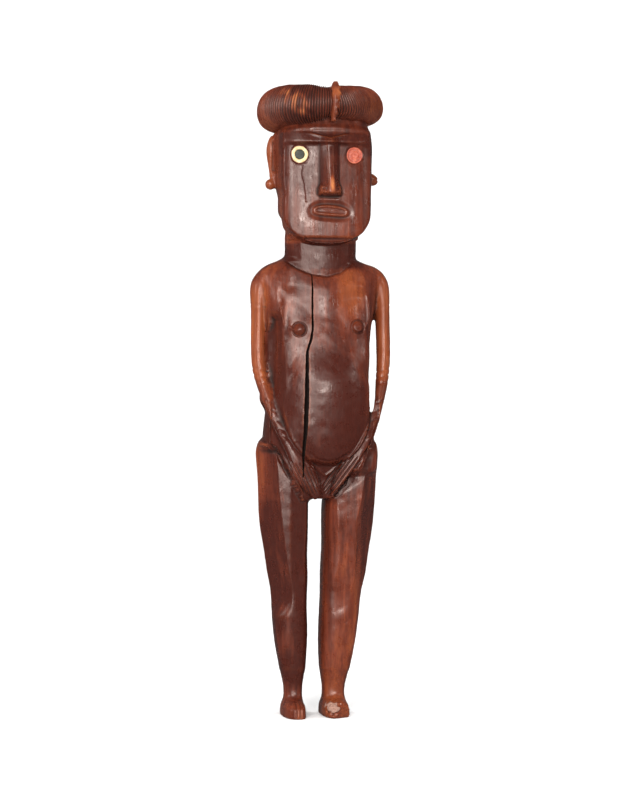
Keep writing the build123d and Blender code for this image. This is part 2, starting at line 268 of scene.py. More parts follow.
class Carving:
    """A closed piece of wood whose surface is planed, pressed and scored point by point."""

    def __init__(self, obj: bpy.types.Object) -> None:
        """Takes hold of a piece.

        Args:
            obj: The piece, with its mesh in metres.
        """
        self.obj = obj
        self.at = np.zeros((0, 3))
        self.out = np.zeros((0, 3))
        self.ends = np.zeros((0, 2), int)
        self.marks: dict[str, np.ndarray] = {}
        self.read()

    @classmethod
    def from_node(cls, name: str, node: bpy.types.Object, low: float, high: float) -> "Carving":
        """Saws a slab out of a copy of a CAD node.

        Args:
            name: The new piece's name.
            node: The CAD node, which stays as it is.
            low: The level of the lower cut.
            high: The level of the upper cut.

        Returns:
            The slab, closed at both cuts.
        """
        bm = in_millimetres(node.data)
        bmesh.ops.remove_doubles(bm, verts=bm.verts, dist=0.001)
        saw(bm, low, keep_above=True)
        saw(bm, high, keep_above=False)
        return cls(new_object(name, bm))

    def read(self) -> None:
        """Reads the points, the outward directions and the edges from the mesh."""
        mesh = self.obj.data
        self.at = vectors(mesh.vertices, "co") / MM
        self.out = vectors(mesh.vertices, "normal")
        ends = np.empty(len(mesh.edges) * 2, int)
        mesh.edges.foreach_get("vertices", ends)
        self.ends = ends.reshape(-1, 2)

    def write(self) -> None:
        """Puts the points back into the mesh and reads the new outward directions."""
        self.obj.data.vertices.foreach_set("co", (self.at * MM).ravel())
        self.obj.data.update()
        self.read()

    def use(self, kind: str, **settings: object) -> None:
        """Applies one modifier for good.

        Args:
            kind: The modifier's type.
            **settings: Its settings.
        """
        self.write()
        modifier = self.obj.modifiers.new(kind.lower(), kind)
        for key, value in settings.items():
            setattr(modifier, key, value)
        bpy.context.view_layer.update()
        held = self.obj.evaluated_get(bpy.context.evaluated_depsgraph_get())
        mesh = bpy.data.meshes.new_from_object(held)
        self.obj.modifiers.clear()
        old = self.obj.data
        self.obj.data = mesh
        bpy.data.meshes.remove(old)
        mesh.name = self.obj.name
        mesh.shade_smooth()
        self.read()

    def cut_with(self, blade: bpy.types.Object) -> None:
        """Cuts a blade's form out of the wood and puts the blade away."""
        self.use("BOOLEAN", operation="DIFFERENCE", object=blade, solver="EXACT")
        bpy.data.objects.remove(blade)

    def even_out(self, grain: float) -> None:
        """Covers the form with an even net of quads, fusing what overlaps."""
        self.use("REMESH", mode="VOXEL", voxel_size=grain * MM, adaptivity=0.0, use_smooth_shade=True)

    def refine(self, where: np.ndarray) -> None:
        """Halves the net's mesh width in part of the surface.

        Args:
            where: True for each point of that part.
        """
        self.write()
        bm = bmesh.new()
        bm.from_mesh(self.obj.data)
        bm.verts.ensure_lookup_table()
        edges = [e for e in bm.edges if where[e.verts[0].index] and where[e.verts[1].index]]
        bmesh.ops.subdivide_edges(bm, edges=edges, cuts=1, use_grid_fill=True, smooth=0.0)
        bm.to_mesh(self.obj.data)
        bm.free()
        self.obj.data.shade_smooth()
        self.read()

    def drop_chips(self) -> None:
        """Takes away loose chips and keeps the largest form."""
        bm = bmesh.new()
        bm.from_mesh(self.obj.data)
        left, forms = set(bm.verts), []
        while left:
            form, rim = set(), [left.pop()]
            while rim:
                v = rim.pop()
                form.add(v)
                near = [e.other_vert(v) for e in v.link_edges if e.other_vert(v) in left]
                left.difference_update(near)
                rim.extend(near)
            forms.append(form)
        forms.sort(key=len)
        bmesh.ops.delete(bm, geom=[v for form in forms[:-1] for v in form], context="VERTS")
        bm.to_mesh(self.obj.data)
        bm.free()
        self.read()

    def mean(self, values: np.ndarray) -> np.ndarray:
        """The mean of the neighbours' values at each point."""
        start, stop = self.ends[:, 0], self.ends[:, 1]
        count = len(self.at)
        number = np.bincount(start, minlength=count) + np.bincount(stop, minlength=count)
        columns = [
            np.bincount(start, weights=column[stop], minlength=count)
            + np.bincount(stop, weights=column[start], minlength=count)
            for column in values.reshape(count, -1).T
        ]
        return (np.stack(columns, axis=1) / np.maximum(number, 1)[:, None]).reshape(values.shape)

    def ease(self, rounds: int, strength: float = 0.5, where: np.ndarray | None = None) -> None:
        """Rubs the surface down.

        Args:
            rounds: How often.
            strength: How far each point goes to the middle of its neighbours.
            where: How much each point takes part, from 0 to 1.
        """
        for _ in range(rounds):
            step = (self.mean(self.at) - self.at) * strength
            self.at += step if where is None else step * where[:, None]
        self.write()

    def press(self, depth: np.ndarray) -> None:
        """Moves the surface inwards along its own direction; a negative depth raises it."""
        self.at -= self.out * depth[:, None]

    def push_back(self, depth: np.ndarray) -> None:
        """Moves the front surface straight back; a negative depth brings it forward."""
        self.at[:, 1] += depth

    def facing(self, x: float = 0.0, y: float = -1.0) -> np.ndarray:
        """How much each point faces a way, from 0 at the side of it to 1 well within it."""
        return rise(self.out[:, 0] * x + self.out[:, 1] * y, 0.05, 0.45)

    def score(self, path: Path, half_width: float, depth: float, taper: float = 0.12) -> None:
        """Cuts a groove into the front along a line.

        Args:
            path: The line's corners as (x, z).
            half_width: Half the groove's width.
            depth: How deep it is; negative for a raised thread.
            taper: The share of its length over which each end runs out.
        """
        gap, share = from_line(self.at, path)
        ends = rise(share, 0.0, taper) * rise(share, 1.0, 1.0 - taper) if taper > 0.0 else 1.0
        cut = np.clip(1.0 - gap / half_width, 0.0, 1.0) ** 0.8 * ends
        self.press(depth * cut * (self.out[:, 1] < 0.15))

    def plane(self, way: tuple[float, float], points: Sequence[Point], where: np.ndarray) -> None:
        """Planes off whatever stands beyond a facet.

        Args:
            way: The facet's direction as (x, y).
            points: Places (x, y, z) that the facet passes through, from the top down.
            where: True for each point that takes part.
        """
        x, y = np.array(way) / np.linalg.norm(way)
        line = np.array(points)[::-1]
        limit = np.interp(self.at[:, 2], line[:, 2], line[:, 0] * x + line[:, 1] * y)
        z = self.at[:, 2]
        inside = where * rise(z, line[0, 2], line[0, 2] + 12.0) * rise(z, line[-1, 2], line[-1, 2] - 6.0)
        over = np.clip(self.at[:, 0] * x + self.at[:, 1] * y - limit, 0.0, None) * inside
        self.at[:, 0] -= over * x
        self.at[:, 1] -= over * y

    def mark(self, name: str, amount: np.ndarray) -> None:
        """Notes a discolouring, wear or painted shade on each point for the finish to read, adding to what is
        noted.

        Args:
            name: The mark's name.
            amount: How much to add on each point.
        """
        held = self.marks.get(name)
        if held is None or len(held) != len(amount):
            held = np.zeros(len(amount))
        self.marks[name] = np.clip(held + amount, 0.0, 1.0)

    def finish(self, marks: Sequence[str] = ("hollow", "worn", "dark", "scar")) -> bpy.types.Object:
        """Writes the mesh with its notes.

        Args:
            marks: The notes that the finish reads; one that isn't made is 0 all over.

        Returns:
            The finished piece.
        """
        self.write()
        # The hollow note is how far each point lies below its rubbed-down neighbours; the finishes paint
        # hollows darker: painted crease shade, with grime in the wood.
        rubbed = self.at.copy()
        for _ in range(10):
            rubbed += (self.mean(rubbed) - rubbed) * 0.6
        below = ((rubbed - self.at) * self.out).sum(axis=1)
        self.marks.setdefault("hollow", np.clip(below / 0.5, -1.0, 1.0))
        for name in marks:
            values = self.marks.get(name, np.zeros(len(self.at)))
            layer = self.obj.data.attributes.new(name, "FLOAT", "POINT")
            layer.data.foreach_set("value", values.astype(np.float32))
        return self.obj

    def cut_out(self, name: str, low: float, high: float) -> bpy.types.Object:
        """Saws one part out of the finished piece, which stays as it is.

        Args:
            name: The part's name.
            low: The level of the lower cut.
            high: The level of the upper cut.

        Returns:
            The part, closed at both cuts.
        """
        bm = in_millimetres(self.obj.data)
        saw(bm, low, keep_above=True)
        saw(bm, high, keep_above=False)
        split = bm.faces.layers.float.get("split")
        if split is not None:
            for edge in bm.edges:
                if len({face[split] for face in edge.link_faces}) > 1:
                    edge.smooth = False
        return new_object(name, bm)

    def discard(self) -> None:
        """Takes the piece off the bench."""
        bpy.data.objects.remove(self.obj)


def wedge(name: str, stations: Sequence[Sequence[tuple[float, float, float]]]) -> bpy.types.Object:
    """Draws a flat-sided blade out from section to section.

    Args:
        name: The blade's name.
        stations: The corners of each section, in the same order.

    Returns:
        The blade.
    """
    bm = bmesh.new()
    tag = bm.verts.layers.int.new("corner")
    ring = [bm.verts.new(p) for p in stations[0]]
    for corner, v in enumerate(ring):
        v[tag] = corner
    face = bm.faces.new(ring)
    for number, station in enumerate(stations[1:]):
        made = bmesh.ops.extrude_face_region(bm, geom=[face])["geom"]
        if number and face.is_valid:
            bmesh.ops.delete(bm, geom=[face], context="FACES_ONLY")
        face = next(f for f in made if isinstance(f, bmesh.types.BMFace))
        for v in face.verts:
            v.co = station[v[tag]]
    return new_object(name, bm)


def saw(bm: bmesh.types.BMesh, level: float, keep_above: bool) -> None:
    """Saws a form off level and closes the cut.

    Args:
        bm: The form, in millimetres.
        level: Where the cut goes.
        keep_above: Which part stays.
    """
    if not min(v.co.z for v in bm.verts) < level < max(v.co.z for v in bm.verts):
        return
    bmesh.ops.bisect_plane(
        bm,
        geom=bm.verts[:] + bm.edges[:] + bm.faces[:],
        plane_co=(0, 0, level),
        plane_no=(0, 0, 1),
        clear_inner=keep_above,
        clear_outer=not keep_above,
    )
    rim = [e for e in bm.edges if e.is_boundary and all(abs(v.co.z - level) < 0.01 for v in e.verts)]
    bmesh.ops.holes_fill(bm, edges=rim, sides=0)
    for edge in rim:
        edge.smooth = False


# --- Finishes


class Shader:
    """A material's node tree, with short ways to add and join nodes."""

    def __init__(self, name: str) -> None:
        """Starts a material with a plain surface.

        Args:
            name: The finish's name.
        """
        self.material = bpy.data.materials.new(name)
        self.material.use_nodes = True
        self.tree = self.material.node_tree
        self.surface = self.tree.nodes["Principled BSDF"]
        self.place = self.tree.nodes.new("ShaderNodeTexCoord").outputs["Object"]

    def node(
        self, kind: str, inputs: dict[str | int, object] | None = None, **settings: object
    ) -> bpy.types.Node:
        """Adds a node.

        Args:
            kind: The node's type.
            inputs: A value or an output to join for each input.
            **settings: The node's own settings.

        Returns:
            The node.
        """
        made = self.tree.nodes.new(kind)
        for key, value in settings.items():
            setattr(made, key, value)
        for key, value in (inputs or {}).items():
            self.join(value, made.inputs[key])
        return made

    def join(self, value: object, socket: bpy.types.NodeSocket) -> None:
        """Joins an output to a socket, or sets the socket's value.

        Args:
            value: The output, or the value to set.
            socket: The input it goes to.
        """
        if isinstance(value, bpy.types.NodeSocket):
            self.tree.links.new(value, socket)
        else:
            socket.default_value = value

    def stretched(self, scale: Point, turn: Point = (0, 0, 0)) -> object:
        """The object's coordinates, scaled and turned."""
        inputs = {"Vector": self.place, "Scale": scale, "Rotation": turn}
        return self.node("ShaderNodeMapping", inputs).outputs[0]

    def noise(self, vector: object, scale: float, detail: float = 4.0, rough: float = 0.55) -> object:
        """A cloudy pattern from 0 to 1."""
        inputs = {"Vector": vector, "Scale": scale, "Detail": detail, "Roughness": rough}
        return self.node("ShaderNodeTexNoise", inputs).outputs["Fac"]

    def ramp(self, value: object, low: float, high: float, start: float = 0.0, stop: float = 1.0) -> object:
        """Maps low..high to start..stop and holds the ends."""
        inputs = {"Value": value, "From Min": low, "From Max": high, "To Min": start, "To Max": stop}
        return self.node("ShaderNodeMapRange", inputs, clamp=True).outputs[0]

    def sum(self, operation: str, first: object, second: object) -> object:
        """Works out one sum."""
        return self.node("ShaderNodeMath", {0: first, 1: second}, operation=operation).outputs[0]

    def note(self, name: str) -> object:
        """Reads a note that the carving left on the points."""
        return self.node("ShaderNodeAttribute", attribute_name=name).outputs["Fac"]

    def blend(self, share: object, first: object, second: object, mode: str = "MIX") -> object:
        """Mixes two colours.

        Args:
            share: How much of the second colour.
            first: The first colour.
            second: The second colour.
            mode: How the two are mixed.

        Returns:
            The mixed colour.
        """
        made = self.node("ShaderNodeMix", data_type="RGBA", blend_type=mode, clamp_factor=True)
        self.join(share, made.inputs["Factor"])
        self.join(first, made.inputs["A"])
        self.join(second, made.inputs["B"])
        return next(o for o in made.outputs if o.type == "RGBA")

    def bump(self, height: object, strength: float, distance: float, under: object | None = None) -> object:
        """Raises the surface where height is high.

        Args:
            height: The pattern that stands proud.
            strength: How strongly it shows.
            distance: Its height in metres.
            under: A relief that this one lies on.

        Returns:
            The normal.
        """
        inputs = {"Height": height, "Strength": strength, "Distance": distance}
        if under is not None:
            inputs["Normal"] = under
        return self.node("ShaderNodeBump", inputs).outputs[0]


Colour = tuple[float, float, float, float]


@dataclass(frozen=True)
class CarvedWood:
    """Old oiled hardwood: dark where hands don't rub it and where shade is painted in, orange-brown where they
    do.
    """

    dark: Colour = (0.046, 0.0085, 0.0050, 1.0)
    body: Colour = (0.120, 0.0235, 0.0105, 1.0)
    warm: Colour = (0.235, 0.056, 0.0165, 1.0)
    pale: Colour = (0.450, 0.150, 0.050, 1.0)
    # Near-black: grime in the pores, and painted shade in hollows, grooves and the crack.
    dirt_and_shade: Colour = (0.0080, 0.0035, 0.0025, 1.0)
    fresh: Colour = (0.340, 0.190, 0.145, 1.0)
    sheen: Colour = (1.0, 0.86, 0.80, 1.0)
    roughness: float = 0.28

    def build(self, name: str) -> bpy.types.Material:
        """Makes the material.

        Args:
            name: The finish's name.

        Returns:
            The material.
        """
        s = Shader(name)
        clouds = s.noise(s.stretched((1.0, 1.0, 0.28)), 42.0, 5.0)
        streaks = s.noise(s.stretched((1.0, 1.0, 0.045), (0.02, -0.03, 0.0)), 330.0, 6.0, 0.62)
        fibre = s.noise(s.stretched((1.0, 1.0, 0.02), (0.02, -0.03, 0.0)), 1500.0, 4.0, 0.6)
        pores = s.noise(s.stretched((1.0, 1.0, 0.09)), 2600.0, 2.0)
        hollow = s.note("hollow")
        scar = s.note("scar")
        # The dark note, taken off here, pulls the colour towards the dark wood: darker wood in places, painted
        # shade in others.
        worn = s.sum("SUBTRACT", s.note("worn"), s.sum("MULTIPLY", s.note("dark"), 0.36))
        worn = s.sum("ADD", worn, s.ramp(clouds, 0.36, 0.66, -0.12, 0.20))
        worn = s.sum("ADD", worn, s.ramp(streaks, 0.35, 0.68, -0.12, 0.14))
        colour = s.blend(s.ramp(worn, -0.12, 0.20), self.dark, self.body)
        colour = s.blend(s.ramp(worn, 0.16, 0.55), colour, self.warm)
        colour = s.blend(s.ramp(worn, 0.50, 1.0), colour, self.pale)
        grain = s.ramp(fibre, 0.38, 0.62, 0.84, 1.14)
        tint = s.node("ShaderNodeCombineColor", {0: grain, 1: grain, 2: grain}).outputs[0]
        colour = s.blend(1.0, colour, tint, "MULTIPLY")
        colour = s.blend(s.ramp(pores, 0.62, 0.74, 0.0, 0.35), colour, self.dirt_and_shade)
        # Hollows and grooves are painted near-black: painted crease shade together with grime.
        colour = s.blend(s.ramp(hollow, 0.22, 1.0, 0.0, 0.80), colour, self.dirt_and_shade)
        colour = s.blend(s.ramp(hollow, -0.2, -0.9, 0.0, 0.30), colour, self.warm)
        colour = s.blend(s.ramp(scar, 0.3, 0.8), colour, self.fresh)
        # Painted shade: the crack's walls are painted near-black, as the shadow inside the split.
        colour = s.blend(s.sum("MULTIPLY", s.note("split"), 0.9), colour, self.dirt_and_shade)
        s.join(colour, s.surface.inputs["Base Color"])
        rough = s.ramp(s.noise(s.place, 160.0, 4.0), 0.3, 0.7, self.roughness - 0.05, self.roughness + 0.10)
        rough = s.sum("ADD", rough, s.sum("MULTIPLY", s.note("split"), 0.5))
        rough = s.sum("ADD", rough, s.ramp(hollow, 0.1, 0.7, 0.0, 0.30))
        rough = s.sum("ADD", rough, s.ramp(scar, 0.2, 0.7, 0.0, 0.35))
        rough = s.sum("ADD", rough, s.ramp(s.note("worn"), 0.25, 0.6, 0.0, 0.12))
        s.join(rough, s.surface.inputs["Roughness"])
        s.join(0.42, s.surface.inputs["Specular IOR Level"])
        s.join(self.sheen, s.surface.inputs["Specular Tint"])
        height = s.bump(s.noise(s.place, 260.0, 3.0), 0.18, 0.0005)
        height = s.bump(fibre, 0.25, 0.00016, height)
        height = s.bump(streaks, 0.22, 0.0003, height)
        height = s.bump(s.ramp(pores, 0.60, 0.75, 1.0, 0.0), 0.30, 0.00012, height)
        crumbs = s.sum("MULTIPLY", s.noise(s.place, 900.0, 5.0, 0.7), scar)
        height = s.bump(crumbs, 1.0, 0.0012, height)
        s.join(height, s.surface.inputs["Normal"])
        return s.material


@dataclass(frozen=True)
class Inlay:
    """A small inlaid stuff: wax, shell or dark resin."""

    base: Colour
    second: Colour
    # The dark colour of the specks, also painted into hollows as crease shade.
    stain_and_shade: Colour
    roughness: float
    speckle: float
    depth: float

    def build(self, name: str) -> bpy.types.Material:
        """Makes the material.

        Args:
            name: The finish's name.

        Returns:
            The material.
        """
        s = Shader(name)
        clouds = s.noise(s.place, 520.0, 5.0, 0.6)
        specks = s.noise(s.place, self.speckle, 4.0, 0.65)
        colour = s.blend(s.ramp(clouds, 0.38, 0.66), self.base, self.second)
        colour = s.blend(s.ramp(specks, 0.56, 0.72, 0.0, 0.8), colour, self.stain_and_shade)
        # Painted shade: hollows in the inlay are painted towards the dark colour.
        colour = s.blend(s.ramp(s.note("hollow"), 0.05, 0.5, 0.0, 0.8), colour, self.stain_and_shade)
        s.join(colour, s.surface.inputs["Base Color"])
        rough = s.ramp(specks, 0.3, 0.7, self.roughness - 0.1, self.roughness + 0.15)
        s.join(rough, s.surface.inputs["Roughness"])
        s.join(0.45, s.surface.inputs["Specular IOR Level"])
        height = s.bump(specks, 0.6, self.depth)
        s.join(s.bump(clouds, 0.5, self.depth, height), s.surface.inputs["Normal"])
        return s.material


def dress(obj: bpy.types.Object, material: bpy.types.Material, node: str) -> None:
    """Gives a piece its finish and its place in the frame.

    Args:
        obj: The piece.
        material: Its finish.
        node: The CAD node that the piece stands for.
    """
    obj.data.materials.clear()
    obj.data.materials.append(material)
    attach(obj, "root")
    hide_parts(node)
    LOG.info("%s: %d points, stands for %s", obj.name, len(obj.data.vertices), node)


# --- The head


@dataclass
class Neck:
    """The neck, worked the same on the head's block and on the body's."""

    joint: float = 292.6
    overlap: float = 7.0
    front_y: float = -17.8
    collar: Path = (
        (-30.0, 289.5),
        (-17.8, 280.2),
        (-9.1, 276.4),
        (0.9, 274.8),
        (10.4, 277.6),
        (18.8, 284.6),
        (30.0, 290.0),
    )

    def carve(self, wood: Carving) -> None:
        """Sets the neck back behind the chest's edge.

        Args:
            wood: The block that holds the neck.
        """
        x, y, z = wood.at.T
        line = through(self.collar, x)
        over = rise(z, line - 0.4, line + 0.6) * (z > 270.0) * (z < 299.0)
        inside = rise(np.abs(x), 27.0, 20.0)
        face = self.front_y + 0.012 * x * x + 0.045 * (284.0 - z)
        wood.push_back(np.clip(face - y, -0.8, 2.6) * over * inside * wood.facing())


@dataclass
class Head:
    """The head, from the middle of the neck to the hair: brow, nose, mouth and ears."""

    hair_cut: float = 369.0
    top: float = 381.0
    grain: float = 0.55
    middle: float = 1.2
    mask_y: float = -25.8
    brow_level: float = 357.4
    nose_top: float = 357.5
    nose_base: float = 325.2
    nose_half_width: float = 5.6
    wing_half_width: float = 7.0
    bridge_height: float = 4.2
    tip_height: float = 10.2
    mouth_x: float = 1.9
    mouth_level: float = 315.6
    mouth_half_width: float = 10.6
    mouth_half_height: float = 3.1
    eye_x: float = 17.2
    eye_level: float = 350.5
    ring_bed: float = 5.55
    wax_bed: float = 5.05
    jaw_widening: Path = (
        (295.5, 1.0),
        (297.0, 1.3),
        (300.0, 1.33),
        (304.0, 1.26),
        (308.0, 1.2),
        (313.0, 1.13),
        (319.0, 1.06),
        (326.0, 1.0),
    )
    jaw_line: Path = (
        (0.0, 294.8),
        (8.0, 295.2),
        (14.0, 296.6),
        (19.0, 299.0),
        (23.0, 302.2),
        (26.0, 306.0),
        (28.0, 310.0),
    )
    band_edge: Path = (
        (-31.0, 364.8),
        (-21.0, 364.6),
        (-11.0, 364.2),
        (1.2, 360.9),
        (11.4, 363.8),
        (21.0, 364.2),
        (31.0, 364.4),
    )

    def build(self, node: bpy.types.Object, neck: Neck) -> Carving:
        """Carves the head.

        Args:
            node: The CAD figure.
            neck: The neck that the head's block shares with the body.

        Returns:
            The carved head, with some of the neck to saw off.
        """
        wood = Carving.from_node("head_block", node, neck.joint - neck.overlap, self.hair_cut)
        self.raise_top(wood)
        self.clear_face(wood)
        wood.even_out(self.grain)
        wood.ease(5)
        self.square_jaw(wood)
        self.shape_face(wood)
        wood.even_out(self.grain)
        wood.ease(3, 0.5)
        self.raise_nose(wood)
        neck.carve(wood)
        wood.ease(1, 0.4)
        self.carve_band(wood)
        self.carve_nostrils(wood)
        self.carve_mouth(wood)
        self.carve_ears(wood)
        wood.press(0.06 * ripple(wood.at, 16.0, 3) + 0.015 * ripple(wood.at, 5.5, 4))
        wood.ease(1, 0.3)
        self.note_wear(wood)
        return wood

    def raise_top(self, wood: Carving) -> None:
        """Carries the head up under the hair as a plain band.

        Args:
            wood: The block being carved.
        """
        bm = bmesh.new()
        bm.from_mesh(wood.obj.data)
        lid = [f for f in bm.faces if all(abs(v.co.z / MM - self.hair_cut) < 0.01 for v in f.verts)]
        made = bmesh.ops.extrude_face_region(bm, geom=lid)["geom"]
        bmesh.ops.delete(bm, geom=lid, context="FACES_ONLY")
        ring = [v for v in made if isinstance(v, bmesh.types.BMVert)]
        bmesh.ops.translate(bm, vec=(0, 0, (self.top - self.hair_cut) * MM), verts=ring)
        bmesh.ops.scale(bm, vec=(0.93, 0.93, 1.0), verts=ring)
        bmesh.ops.recalc_face_normals(bm, faces=bm.faces)
        bm.to_mesh(wood.obj.data)
        bm.free()
        wood.obj.data.update()
        wood.read()

    def clear_face(self, wood: Carving) -> None:
        """Takes the rough nose and mouth off the face before they are carved.

        Args:
            wood: The block being carved.
        """
        x, y, z = wood.at.T
        nose = (np.abs(x - 1.0) < 8.5) & (z > 322.0) & (z < 363.0) & (y < -25.0)
        mouth = (np.abs(x - 1.5) < 13.0) & (np.abs(z - 317.0) < 4.5) & (y < -25.0)
        wood.at[nose, 1] = -25.9
        wood.at[mouth, 1] = -26.2
        socket = (self.from_eye(wood) < 6.5) & (y < -18.0)
        wood.at[socket, 1] = -25.6
        wood.write()

    def from_eye(self, wood: Carving) -> np.ndarray:
        """How far each point is from the middle of the nearer eye, seen from the front."""
        x, _, z = wood.at.T
        return np.hypot(np.abs(x) - self.eye_x, z - self.eye_level)

    def square_jaw(self, wood: Carving) -> None:
        """Widens the jaw, draws the right side in and sets the ears in their places.

        Args:
            wood: The block being carved.
        """
        x, y, z = wood.at.T
        wider = through(self.jaw_widening, z)
        part = np.maximum(rise(z, 307.0, 318.0), rise(y, -6.0, -15.0)) * np.where(x > 0.0, 0.85, 1.0)
        part *= (z > 298.5) | (np.hypot(x, y + 1.0) > 23.0) | (y < -20.5)
        wood.at[:, 0] += x * (wider - 1.0) * part
        wood.at[:, 0] += 1.9 * rise(-x, 18.0, 29.0) * rise(z, 299.0, 325.0) * rise(z, 372.0, 366.0)
        x, y, z = wood.at.T
        ear = (np.abs(x) > 29.5) & (z < 368.2)
        wood.at[:, 2] -= 2.4 * rise(z, 345.0, 364.0) * ear
        flat = (x > 31.2) & (z > 338.5) & (z < 369.0)
        wood.at[flat, 0] = 31.2 + (wood.at[flat, 0] - 31.2) * 0.2
        wood.at[:, 2] += 3.6 * (x > 30.8) * rise(z, 341.0, 338.5)
        wood.write()

    def mask(self, x: np.ndarray, z: np.ndarray) -> np.ndarray:
        """Where the flat front of the face lies, as Y."""
        edge = np.clip((np.abs(x - 0.4) - 17.0) / 11.0, 0.0, 2.0)
        flat = self.mask_y + 3.6 * edge**2.4 - 0.9 * (1.0 - np.minimum(np.abs(x) / 20.0, 1.0) ** 2)
        flat -= 0.9 * swell(np.abs(z - 312.0), 30.0)
        return flat + 0.05 * np.clip(self.jaw_edge(x) + 2.8 - z, 0.0, 4.0) ** 2

    def jaw_edge(self, x: np.ndarray) -> np.ndarray:
        """The level of the jaw's lower edge."""
        return through(self.jaw_line, np.abs(x - 0.4))

    def shape_face(self, wood: Carving) -> None:
        """Planes the flat mask of the face under a brow that stands proud of it.

        Args:
            wood: The block being carved.
        """
        x, y, z = wood.at.T
        front = rise(wood.out[:, 1], 0.0, -0.3) * (y < -6.0)
        step = 0.9 + 1.9 * rise(np.abs(x), 29.0, 12.0)
        step -= 0.30 * np.clip(z - self.brow_level - 1.0, 0.0, 6.5)
        proud = step * rise(z, self.brow_level - 0.5, self.brow_level + 0.5)
        target = self.mask(x, z) - proud
        low = self.jaw_edge(x)
        part = rise(z, low - 0.2, low + 1.6) * rise(z, 368.5, 365.5) * rise(np.abs(x - 0.4), 31.0, 27.0)
        wood.push_back((target - y) * part * front)
        wood.write()
        x, y, z = wood.at.T
        low = self.jaw_edge(x)
        throat = -17.8 + 0.012 * x * x
        under = rise(z, low + 0.3, low - 0.3) * (y < throat) * (z > 288.0)
        wood.at[:, 1] += (throat - y) * under
        wood.write()
        x, y, z = wood.at.T
        corners = rise(np.abs(x), 22.5, 26.0) * (y < -4.0) * (z > 296.0) * (z < 369.0) * (np.abs(x) < 31.0)
        wood.ease(14, 0.6, corners * rise(self.from_eye(wood), 6.0, 8.0))
        wood.ease(2, 0.5)
        edge = np.where(wood.at[:, 0] < 0.0, self.ring_bed, self.wax_bed)
        recess = rise(self.from_eye(wood), edge + 0.3, edge - 0.3) * wood.facing()
        wood.push_back(1.0 * recess)
        wood.write()

    def raise_nose(self, wood: Carving) -> None:
        """Builds up the wedge of the nose with its wings.

        Args:
            wood: The block being carved.
        """
        x, _, z = wood.at.T
        down = np.clip((self.nose_top - z) / (self.nose_top - self.nose_base), 0.0, 1.0)
        half = self.nose_half_width + (self.wing_half_width - self.nose_half_width) * rise(down, 0.74, 0.90)
        aside = np.abs(x - self.middle) / half
        ridge = np.interp(aside, [0.0, 0.22, 0.34, 0.93, 1.06], [1.0, 0.985, 0.93, 0.26, 0.0])
        wings = 0.34 * band(aside, 0.50, 0.93, 0.10) * rise(down, 0.74, 0.86)
        along = self.bridge_height + (self.tip_height - self.bridge_height) * down**1.1
        ends = rise(z, self.nose_base - 0.3, self.nose_base + 1.0) * rise(z, self.nose_top + 6.0, self.nose_top)
        wood.push_back(-along * np.maximum(ridge, wings + ridge * 0.72) * ends * wood.facing())
        wood.write()

    def carve_band(self, wood: Carving) -> None:
        """Cuts the plain band under the hair down to its pointed lower edge over the nose.

        Args:
            wood: The block being carved.
        """
        x, _, z = wood.at.T
        level = through(self.band_edge, x)
        depth = 0.15 + 0.85 * rise(np.abs(x - 1.2), 22.0, 9.0)
        wood.push_back(depth * rise(z, level - 0.5, level + 0.3) * wood.facing())
        wood.write()
        lip = [(-14.0, 363.7), (-10.5, 363.4), (1.2, 360.0), (11.0, 363.0), (14.0, 363.3)]
        wood.score(lip, 1.0, -0.6, 0.25)
        wood.write()

    def carve_nostrils(self, wood: Carving) -> None:
        """Cuts the nostrils' curls into the wings and undercuts the nose's foot.

        Args:
            wood: The block being carved.
        """
        for side in (-1.0, 1.0):
            curl = [
                (self.middle + side * 5.9, 330.9),
                (self.middle + side * 4.3, 331.2),
                (self.middle + side * 3.2, 329.6),
                (self.middle + side * 3.4, 327.6),
                (self.middle + side * 4.6, 327.2),
            ]
            wood.score(curl, 0.75, 0.8, 0.15)
            x, _, z = wood.at.T
            hole = np.hypot(x - self.middle - side * 4.6, (z - 328.9) / 0.8)
            wood.push_back(1.5 * swell(hole, 1.3) * wood.facing())
            wood.write()
        wood.score([(self.middle - 6.5, 324.4), (self.middle, 324.0), (self.middle + 6.5, 324.4)], 1.2, 0.5)
        wood.write()

    def carve_mouth(self, wood: Carving) -> None:
        """Hollows the face round the mouth and raises its long rounded rim.

        Args:
            wood: The block being carved.
        """
        x, _, z = wood.at.T
        tilt = math.radians(-3.5)
        across = (x - self.mouth_x) * math.cos(tilt) + (z - self.mouth_level) * math.sin(tilt)
        up = (z - self.mouth_level) * math.cos(tilt) - (x - self.mouth_x) * math.sin(tilt)
        up += 0.006 * across**2 - 0.3
        front = wood.facing()
        around = oval(across, up, 15.5, 7.4, 2.4)
        wood.push_back(1.1 * rise(around, 1.0, 0.55) * front)
        lips = oval(across, up, self.mouth_half_width, self.mouth_half_height, 2.9)
        wood.push_back(-1.7 * rise(lips, 1.16, 0.94) * front)
        inner = oval(across, up, self.mouth_half_width - 1.6, 1.7, 2.9)
        wood.push_back(0.75 * rise(inner, 1.12, 0.9) * front)
        lip = np.clip(1.0 - np.abs(up) / 0.55, 0.0, 1.0) * rise(np.abs(across), 8.6, 7.4)
        wood.push_back(-0.35 * lip * front)
        wood.write()

    def carve_ears(self, wood: Carving) -> None:
        """Hollows each ear behind its rim and cuts its long grooves.

        Args:
            wood: The block being carved.
        """
        x, y, z = wood.at.T
        front = rise(wood.out[:, 1], 0.1, -0.4)
        right = -x
        bowl = band(right, 29.2, 30.9, 0.6) * band(z, 343.0, 359.5, 2.5)
        wood.push_back(1.6 * bowl * front)
        for at in (32.0, 33.2):
            groove = np.clip(1.0 - np.abs(right - at) / 0.45, 0.0, 1.0) * band(z, 340.0, 362.0, 2.0)
            wood.push_back(0.55 * groove * front)
        crease = np.clip(1.0 - np.abs(z - 337.9) / 1.0, 0.0, 1.0)
        crease *= rise(np.abs(x), 31.0, 32.0) * (np.abs(y) < 9.0)
        wood.press(0.6 * crease)
        wood.write()

